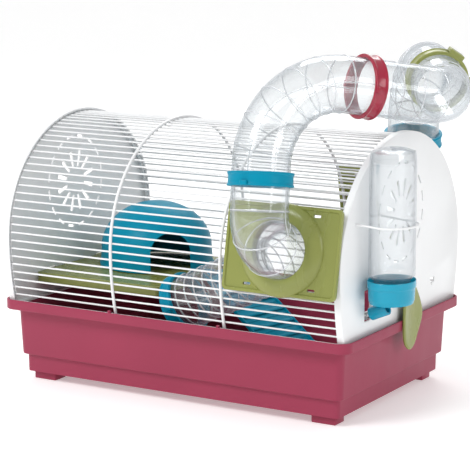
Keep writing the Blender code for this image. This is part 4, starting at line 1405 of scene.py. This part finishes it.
@dataclass
class Latch:
    """Leaf-shaped latch on a pin."""

    side: int

    def build(self) -> list[bpy.types.Object]:
        """Make the leaf, its barrel and the pin."""
        word = "right" if self.side > 0 else "left"
        body = Body.RIGHT_LATCH if self.side > 0 else Body.LEFT_LATCH
        z0 = RIM_TOP + 0.0260
        shape = ((-0.0115, 0.0040), (-0.0123, -0.0114), (-0.0125, -0.0421), (-0.0085, -0.0531),
                 (0.0000, -0.0592),
                 (0.0064, -0.0597), (0.0140, -0.0550), (0.0205, -0.0441), (0.0290, -0.0330),
                 (0.0317, -0.0236),
                 (0.0270, -0.0120), (0.0170, 0.0030), (0.0110, 0.0090), (0.0040, 0.0095))
        loop = closed_profile(shape, 0.0060, 6)
        face = HALF_X + 0.0006
        rings = []
        for x, scale in ((face, 0.985), (face + 0.0004, 1.0), (face + 0.0016, 1.0), (face + 0.0024, 0.97),
                         (face + 0.0028, 0.92), (face + 0.0022, 0.80)):
            rings.append([(MID_X + self.side * x, MID_Y + (y - 0.008) * scale + 0.008,
                           z0 + (z + 0.024) * scale - 0.024)
                          for y, z in loop])
        leaf = skin(word + "_latch_leaf", rings)
        axis_x = MID_X + self.side * (PANEL_X + 0.0034)
        barrel = turned("barrel", Vector((axis_x, MID_Y, z0)), Vector((0, 1, 0)),
                        closed_profile(((-0.0122, 0.0014), (-0.0122, 0.0029), (0.0122, 0.0029),
                                        (0.0122, 0.0014)),
                                       0.0005, 3), 40)
        xs = sorted((axis_x + self.side * 0.0018, MID_X + self.side * (face + 0.0010)))
        web = box("web", (xs[0], MID_Y - 0.0122, z0 - 0.0018), (xs[1], MID_Y + 0.0122, z0 + 0.0018))
        join(leaf, barrel, web)
        place(leaf, "olive_gloss", body, word + "_latch", angle=35)
        pin = bent_bar(word + "_pin_wire", [[(axis_x, MID_Y - 0.0178, z0), (axis_x, MID_Y + 0.0178, z0)]],
                       0.0012,
                       "spout_steel", 16)
        place(pin, "spout_steel", Body.TOP, word + "_latch_pin", angle=60)
        return [leaf, pin]


@dataclass
class TubeRun:
    """The outside loop and the inner run of clear tube, with their rings."""

    def build(self) -> list[bpy.types.Object]:
        """Make each tube and ring."""
        out = []
        elbow = TUBE_R + 0.0065
        spots: dict[int, dict[str, Vector]] = {}
        for side, swing in ((-1, math.radians(3.8)), (1, math.radians(-6.7))):
            centre, normal, uphill = plate_axes(side)
            corner = centre + normal * (TUBE_R + 0.0215)
            rise = uphill * math.cos(swing) - Vector((1, 0, 0)) * math.sin(swing)
            spots[side] = {"start": centre - normal * 0.0060, "corner": corner,
                           "ring": corner + rise * 0.0670,
                           "top": corner + rise * 0.1680}
        yaw, fall = math.radians(55.8), math.radians(8.67)
        aim = Vector((math.cos(fall) * math.cos(yaw), math.cos(fall) * math.sin(yaw), -math.sin(fall)))
        turn = spots[-1]["top"] + aim * HALF_Y * 1.539
        for side, word in ((-1, "front"), (1, "rear")):
            s = spots[side]
            s["head"] = (turn - s["top"]).normalized()
            s["joint"] = s["top"] + s["head"] * 0.1130
            out += Tube(word + "_elbow", (s["start"], s["corner"], s["ring"]), elbow, 4, 0.08, 0.72,
                        seam=True).build()
            out += Tube(word + "_bend", (s["ring"], s["top"], s["joint"]), 0.085, 6, 0.17, 0.84,
                        seam=True).build()
        ring, back_ring, joint, back_joint = (spots[-1]["ring"], spots[1]["ring"], spots[-1]["joint"],
                                              spots[1]["joint"])
        corner, back_corner = spots[-1]["corner"], spots[1]["corner"]
        out += Tube("corner_elbow", (joint, turn, back_joint), TUBE_R + 0.0100, 5, 0.18, 0.82, 0.0006).build()
        centre, normal, _ = plate_axes(-1)
        knee = centre - normal * (TUBE_R + 0.0160)
        away = Vector((-0.897, 0.058, -0.437)).normalized()
        end = knee + away * 0.1720
        out += Tube("inner_tube", (centre - normal * 0.0064, knee, end), elbow, 11, 0.26, 0.90,
                    0.0008).build()
        rings = (
            ("front_ring_blue", Body.FRONT_RING, "front_blue_ring", ring, ring - corner, "teal_gloss", False),
            ("rear_ring_blue", Body.REAR_RING, "rear_blue_ring", back_ring, back_ring - back_corner,
             "teal_gloss", False),
            ("red_ring_shell", Body.RED_RING, "red_ring", joint, spots[-1]["head"], "crimson_gloss", False),
            ("green_ring_shell", Body.GREEN_RING, "green_ring", back_joint, -spots[1]["head"], "olive_gloss",
             True),
            ("inner_ring_blue", Body.INNER_RING, "inner_blue_ring", end - away * 0.0072, away, "teal_gloss",
             False),
        )
        for name, body, node, middle, axis, finish, block in rings:
            out += TwistRing(name, body, node, middle, axis, finish, block).build()
        return out


# ---- room, light and camera ------------------------------------------------------------------------------
@dataclass
class Studio:
    """Pale paper sweep, soft lights and the camera."""

    eye: Vector = field(default_factory=lambda: Vector((MID_X + 1.0359, -1.7462, 0.5371)))
    aim: Vector = field(default_factory=lambda: Vector((MID_X + 0.0040, 0.0, 0.1588)))
    lens: float = 146.17

    def light(self, name: str, spot: Sequence[float], size: float, power: float) -> None:
        """Soft square light that points at the cage."""
        data = bpy.data.lights.new(name, "AREA")
        data.shape = "SQUARE"
        data.size = size
        data.energy = power
        obj = bpy.data.objects.new(name, data)
        bpy.context.scene.collection.objects.link(obj)
        obj.location = spot
        obj.rotation_mode = "QUATERNION"
        obj.rotation_quaternion = (Vector((0, 0, 0.15)) - Vector(spot)).to_track_quat("-Z", "Y")

    def build(self) -> list[bpy.types.Object]:
        """Make the room, the lights and the camera."""
        rings = []
        for x in (-6.0, 6.0):
            line = rounded(((-4.0, 0.0), (5.0, 0.0), (5.0, 5.0)), 1.6, 24)
            rings.append([(x, y, z) for y, z in line])
        count = len(rings[0])
        faces = [(k, k + 1, count + k + 1, count + k) for k in range(count - 1)]
        paper = blank("paper_sweep", rings[0] + rings[1], (), faces)
        turn = Matrix.Rotation(math.atan2(self.eye.x - self.aim.x, -(self.eye.y - self.aim.y)), 4, "Z")
        paper.data.transform(turn)
        paper.data.materials.append(FINISH["studio_paper"])
        paper.data.polygons.foreach_set("use_smooth", np.ones(len(faces), bool))
        paper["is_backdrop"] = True
        self.light("key", (-0.7, -1.8, 1.9), 1.0, 34.0)
        self.light("fill", (2.3, -0.4, 1.0), 1.0, 9.0)
        self.light("back", (-0.6, 1.6, 1.9), 1.2, 16.0)
        world = bpy.data.worlds.new("soft_room")
        world.use_nodes = True
        world.node_tree.nodes["Background"].inputs["Color"].default_value = (1.0, 1.0, 1.0, 1.0)
        world.node_tree.nodes["Background"].inputs["Strength"].default_value = 0.58
        scene = bpy.context.scene
        scene.world = world
        scene.view_settings.view_transform = "Standard"
        data = bpy.data.cameras.new("camera")
        data.sensor_width = 36.0
        data.lens = self.lens
        data.shift_x = -0.0016
        data.shift_y = 0.0005
        data.clip_start = 0.05
        data.clip_end = 50.0
        camera = bpy.data.objects.new("camera", data)
        scene.collection.objects.link(camera)
        camera.location = self.eye
        camera.rotation_mode = "QUATERNION"
        camera.rotation_quaternion = (self.aim - self.eye).to_track_quat("-Z", "Y")
        scene.camera = camera
        return [paper, camera]


def main() -> None:
    """Build every sub-assembly in order and report its pieces."""
    logging.basicConfig(level=logging.INFO, format="%(message)s")
    plan = [
        Tray(), EndPanel(-1), EndPanel(1), Hood(), TubePlate(-1), TubePlate(1), Shelf(), Igloo(), Ramp(),
        Bottle(),
        Latch(-1), Latch(1), TubeRun(), Studio(),
    ]
    for part in plan:
        for piece in part.build():
            faces = len(piece.data.polygons) if piece.type == "MESH" else 0
            LOG.info("%s: %s, %d faces", type(part).__name__, piece.name, faces)
    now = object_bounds()
    sizes = {"frame": [list(START_BOX[0]), list(START_BOX[1])], "looks": [list(now[0]), list(now[1])]}


if __name__ == "__main__":
    main()
